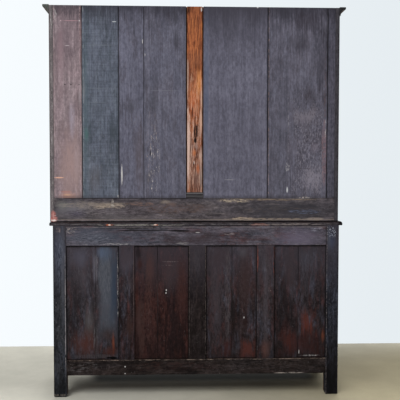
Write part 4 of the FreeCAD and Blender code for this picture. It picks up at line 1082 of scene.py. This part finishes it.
def turned_leg(node):
    """A front leg: square blocks with rubbed arrises, a vase turning with beads, and a turned foot."""
    low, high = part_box(node)
    centre = (low + high) / 2
    shape = bmesh.new()
    for bottom, top in LEG_BLOCKS:
        size = Vector((high.x - low.x, high.y - low.y, top - bottom))
        middle = Vector((centre.x, centre.y, (bottom + top) / 2))
        bmesh.ops.create_cube(shape, matrix=Matrix.LocRotScale(middle, None, size))
    rub_down(shape, list(shape.edges), LEG_RUB)
    for profile in (LEG_VASE, LEG_FOOT):
        lathe(shape, profile, Matrix.Translation((centre.x, centre.y, 0)))
    bmesh.ops.recalc_face_normals(shape, faces=shape.faces)
    return stand_in(f"{node}_turned", node, shape)


def all_wood():
    """Give every wooden piece its shape and its finish."""
    for seed, node in enumerate(sorted(frame["nodes"]), 1):
        if SLOT[node] == "brass":
            continue
        material = wood(node, look_of(node), seed)
        piece = turned_leg(node) if node.startswith("front_leg") else worn_copy(node)
        dress(piece, BODY[node], material)


# Handle plate: its outline, as shares of its half height and half width, and the steps of its domed face
PLATE_STEPS = 72
PLATE_ENDS = 0.55
LOBE_TALL = 0.44
LOBE_WIDE = 0.24
PLATE_LAYERS = ((1.0, 0.0), (1.0, 0.0007), (0.95, 0.0012), (0.62, 0.0016))

# Handle posts: where they stand, their turned foot as radii and heights, and the ball on top
HANDLE_POST = 0.042
POST_FOOT = [(0.0080, 0.0008), (0.0080, 0.0026), (0.0066, 0.0040), (0.0044, 0.0052), (0.0036, 0.0066)]
POST_BALL = 0.0054
BALL_ROOM = 0.0002
BALL_FROM = -65
BALL_SWEEP = 155
BALL_STEPS = 12

# Bails: the bend at a corner, how much thicker the foot is, the pins, and the points along half the foot
BAIL_CORNER = 0.0174
BAIL_SWELL = 0.25
BAIL_PIN = 0.006
BAIL_FOOT = (0.75, 0.5, 0.25)
TUBE_SIDES = 16
QUARTER_TURN = [math.radians(10 * step) for step in range(10)]


def plate_edge(half, peak):
    """The outline of a cast plate: long rounded ends and a lobe above and below its middle."""
    points = []
    for turn in round_turn(PLATE_STEPS):
        x = half * math.cos(turn)
        lobe = LOBE_TALL * math.exp(-((x / (LOBE_WIDE * half)) ** 2))
        points.append((x, (PLATE_ENDS + lobe) * peak * math.sin(turn)))
    return points


def handle_mount(node):
    """A cast plate with a domed face and two posts with round heads, which hold the bail."""
    low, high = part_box(node)
    centre = Vector(((low.x + high.x) / 2, high.y, (low.z + high.z) / 2))
    edge = plate_edge((high.x - low.x) / 2, (high.z - low.z) / 2)
    shape = bmesh.new()
    layers = []
    for share, rise in PLATE_LAYERS:
        layers.append([centre + Vector((x * share, -rise, z * share)) for x, z in edge])
    skin(shape, layers)
    ball = high.y - low.y - POST_BALL - BALL_ROOM
    turns = [math.radians(BALL_FROM + BALL_SWEEP * step / BALL_STEPS) for step in range(BALL_STEPS)]
    head = [(POST_BALL * math.cos(turn), ball + POST_BALL * math.sin(turn)) for turn in turns]
    for sign in (-1, 1):
        place = Matrix.Translation(centre + Vector((sign * HANDLE_POST, 0, 0)))
        lathe(shape, POST_FOOT + head, place @ Matrix.Rotation(math.radians(90), 4, "X"))
    bmesh.ops.recalc_face_normals(shape, faces=shape.faces)
    return stand_in(f"{node}_cast", node, shape)


def bail_path(half, drop, pin):
    """Points from one pin of a bail down its arm, along its foot and up to the other pin."""
    side, low = BAIL_CORNER - half, BAIL_CORNER - drop
    corner = [(BAIL_CORNER * math.cos(turn), BAIL_CORNER * math.sin(turn)) for turn in QUARTER_TURN]
    bend = [(side - x, low - z) for x, z in corner]
    eye = [(pin * (1 - math.sin(turn)) - half, pin * (math.cos(turn) - 1)) for turn in QUARTER_TURN]
    foot = [(side * share, -drop) for share in BAIL_FOOT]
    one = [(BAIL_PIN - half, 0.0)] + eye + bend + foot
    return one + [(0.0, -drop)] + [(-x, z) for x, z in reversed(one)]


def bail(node):
    """A bail drawn from round bar, thicker along its foot, with pins that turn in the posts."""
    low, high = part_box(node)
    bar = (high.y - low.y) / 2
    half = (high.x - low.x) / 2 - bar
    centre = Vector(((low.x + high.x) / 2, (low.y + high.y) / 2, high.z - bar))
    path = [Vector((x, 0, z)) for x, z in bail_path(half, high.z - low.z - 2 * bar, bar)]
    outward = Vector((0, 1, 0))
    rings = []
    for before, point, after in zip(path[:1] + path, path, path[1:] + path[-1:]):
        side = (after - before).normalized().cross(outward)
        radius = bar * (1 + BAIL_SWELL * max(0.0, 1 - abs(point.x) / half))
        spokes = [side * math.cos(turn) + outward * math.sin(turn) for turn in round_turn(TUBE_SIDES)]
        rings.append([centre + point + spoke * radius for spoke in spokes])
    shape = bmesh.new()
    skin(shape, rings)
    bmesh.ops.recalc_face_normals(shape, faces=shape.faces)
    return stand_in(f"{node}_round", node, shape)


def all_brass(material):
    """Give every drawer its handle."""
    for drawer in DRAWERS:
        for name, make in (("handle_mount", handle_mount), ("bail", bail)):
            node = f"drawer_{drawer}_{name}"
            dress(make(node), BODY[node], material)


def camera():
    """Set the camera where the photograph was taken from."""
    flat = math.cos(CAMERA_PITCH)
    forward = Vector((math.sin(CAMERA_YAW) * flat, -math.cos(CAMERA_YAW) * flat, -math.sin(CAMERA_PITCH)))
    sideways = forward.cross((0, 0, 1)).normalized()
    upwards = sideways.cross(forward)
    right = sideways * math.cos(CAMERA_ROLL) + upwards * math.sin(CAMERA_ROLL)
    up = upwards * math.cos(CAMERA_ROLL) - sideways * math.sin(CAMERA_ROLL)
    turned = Matrix((right, up, -forward)).transposed().to_4x4()
    view = bpy.data.cameras.new("camera")
    view.sensor_width = SENSOR
    view.lens = SENSOR * FOCAL_PIXELS / IMAGE_SIZE
    placed = bpy.data.objects.new("camera", view)
    placed.matrix_world = Matrix.Translation(CAMERA_PLACE) @ turned
    bpy.context.scene.collection.objects.link(placed)
    bpy.context.scene.camera = placed


# Stage: where the backdrop stands, how far floor and backdrop reach, and their colours
BACKDROP_Y = -0.81
STAGE_REACH = 12.0
WALL_COLOUR = (243, 248, 251)
# The wall's ends: painted light on the lamp's side, painted shade on the other
WALL_LIT_SIDE = (247, 252, 255)
WALL_SHADED_SIDE = (230, 237, 241)
WALL_FADES = (-1.5, 1.3)
FLOOR_PALE = (185, 183, 172)
# A warm, darker tone: partly the floor's own, partly painted shade away from the lamp
FLOOR_WARM_AND_SHADED = (150, 142, 118)

# Floor: a warm, darker patch as a stretched circle, partly its own tone and partly painted shade away from
# the lamp, faint clouds, and painted light from its far end to its near end and along the backdrop
WARM_STRETCH = (0.36, 0.6, 0.0)
WARM_SHIFT = (0.60, -0.05, 0.0)
WARM_FADES = (0.26, 0.82)
FLOOR_CLOUDS = Pattern(3, 3, 6, 0.65)
CLOUD_LIGHT = (0.9, 1.06)
DEPTH_FADES = (-0.10, 0.32)
DEPTH_LIGHT = (0.95, 1.3)
WALL_STRIP = 0.35
STRIP_LIGHT = 1.22

# Painted shadow on the floor under the dresser: its middle, where it fades at its sides, its rear and its
# front, and how much light it leaves
UNDER_MIDDLE = -0.06
UNDER_SIDES = (0.56, 0.68)
UNDER_REAR = (-0.10, 0.06)
UNDER_FRONT = (-0.40, -0.30)
UNDER_LIGHT = 0.06


def sheet(name, corners):
    """One face of the stage."""
    mesh = bpy.data.meshes.new(name)
    mesh.from_pydata(corners, [], [range(len(corners))])
    piece = new_piece(name, mesh)
    return piece


def floor():
    """A plain pale floor with faint clouds in it; a warm patch on it is partly painted shade, painted light
    brightens it towards its near end and along the backdrop, and a painted shadow darkens it under the
    dresser.
    """
    reach = STAGE_REACH
    piece = sheet("floor", [(-reach, -reach, 0), (reach, -reach, 0), (reach, reach, 0), (-reach, reach, 0)])
    finish = Finish("floor", 2)
    cloud = finish.noise(FLOOR_CLOUDS)
    across, depth = finish.add("SeparateXYZ", Vector=finish.point).outputs[:2]
    # The warm patch: partly the floor's own tone, partly painted shade away from the lamp
    away = finish.length(finish.vector("MULTIPLY_ADD", finish.point, WARM_STRETCH, WARM_SHIFT))
    colour = finish.mix(finish.fade(away, *WARM_FADES, 1.0, 0.0), tone(*FLOOR_PALE), tone(*FLOOR_WARM_AND_SHADED))
    colour = finish.scaled(colour, finish.fade(cloud, *EVEN_FADES, *CLOUD_LIGHT))
    # Painted light: the floor brighter towards its near end
    colour = finish.scaled(colour, finish.fade(depth, *DEPTH_FADES, *DEPTH_LIGHT))
    # Painted light: a brighter strip along the foot of the backdrop
    strip = finish.fade(depth, BACKDROP_Y, BACKDROP_Y + WALL_STRIP, STRIP_LIGHT, 1.0)
    colour = finish.scaled(colour, strip)
    # Painted shadow under the dresser: the floor darkened across its footprint
    aside = finish.math("ABSOLUTE", finish.math("SUBTRACT", across, UNDER_MIDDLE))
    inner = finish.fade(aside, *UNDER_SIDES, 1.0, 0.0)
    rear = finish.fade(depth, *UNDER_REAR, 1.0, 0.0)
    front = finish.fade(depth, *UNDER_FRONT)
    under = finish.math("MULTIPLY", inner, finish.math("MULTIPLY", rear, front))
    colour = finish.scaled(colour, finish.fade(under, 0.0, 1.0, 1.0, UNDER_LIGHT))
    finish.set(Base_Color=colour, Roughness=0.8, Specular_IOR_Level=0.05)
    piece.data.materials.append(finish.material)


def backdrop():
    """A pale wall beyond the dresser, which glows with painted light, brighter on the lamp's side and
    darker on the other, and is shown only to what looks at it from the room's side.
    """
    reach, y = STAGE_REACH, BACKDROP_Y
    piece = sheet("backdrop", [(-reach, y, 0), (-reach, y, reach), (reach, y, reach), (reach, y, 0)])
    finish = Finish("backdrop", 3)
    facing = finish.math("SUBTRACT", 1.0, finish.add("NewGeometry").outputs["Backfacing"])
    across = finish.add("SeparateXYZ", Vector=finish.point).outputs[0]
    colour = finish.mix(finish.fade(across, *WALL_FADES), tone(*WALL_SHADED_SIDE), tone(*WALL_LIT_SIDE))
    glow = finish.add("Emission", Color=colour, Strength=1.0).outputs[0]
    clear = finish.add("BsdfTransparent").outputs[0]
    seen = finish.math("MULTIPLY", finish.looked_at(), facing)
    finish.show("Material Output", seen, clear, glow)
    piece.data.materials.append(finish.material)


# The even light from all round
WORLD_LIGHT = 0.30


def surroundings():
    """Even light from all round; what looks straight at it sees the wall's colour."""
    world = bpy.data.worlds.new("surroundings")
    bpy.context.scene.world = world
    world.use_nodes = True
    nodes = Nodes(world.node_tree)
    light = nodes.add("Background", Color=(1, 1, 1, 1), Strength=WORLD_LIGHT).outputs[0]
    pale = nodes.add("Background", Color=tone(*WALL_COLOUR)).outputs[0]
    nodes.show("World Output", nodes.looked_at(), light, pale)


# Lamps: where each stands, how wide it is and its power, all turned to one point
LIT_POINT = Vector((0, 0, 1.0))
LAMPS = {
    "key": ((3.2, 6.2, 6.6), 5.0, 560),
    "fill_front": ((-1.2, -5.8, 6.8), 8.0, 640),
}


def lights():
    """Set up the lamps."""
    for name, (place, size, power) in LAMPS.items():
        light = bpy.data.lights.new(name, "AREA")
        light.size = size
        light.energy = power
        placed = bpy.data.objects.new(name, light)
        placed.location = place
        placed.rotation_euler = (LIT_POINT - Vector(place)).to_track_quat("-Z", "Y").to_euler()
        bpy.context.scene.collection.objects.link(placed)


all_wood()
all_brass(brass())
camera()
floor()
backdrop()
surroundings()
lights()
bpy.context.scene.view_settings.view_transform = "Standard"
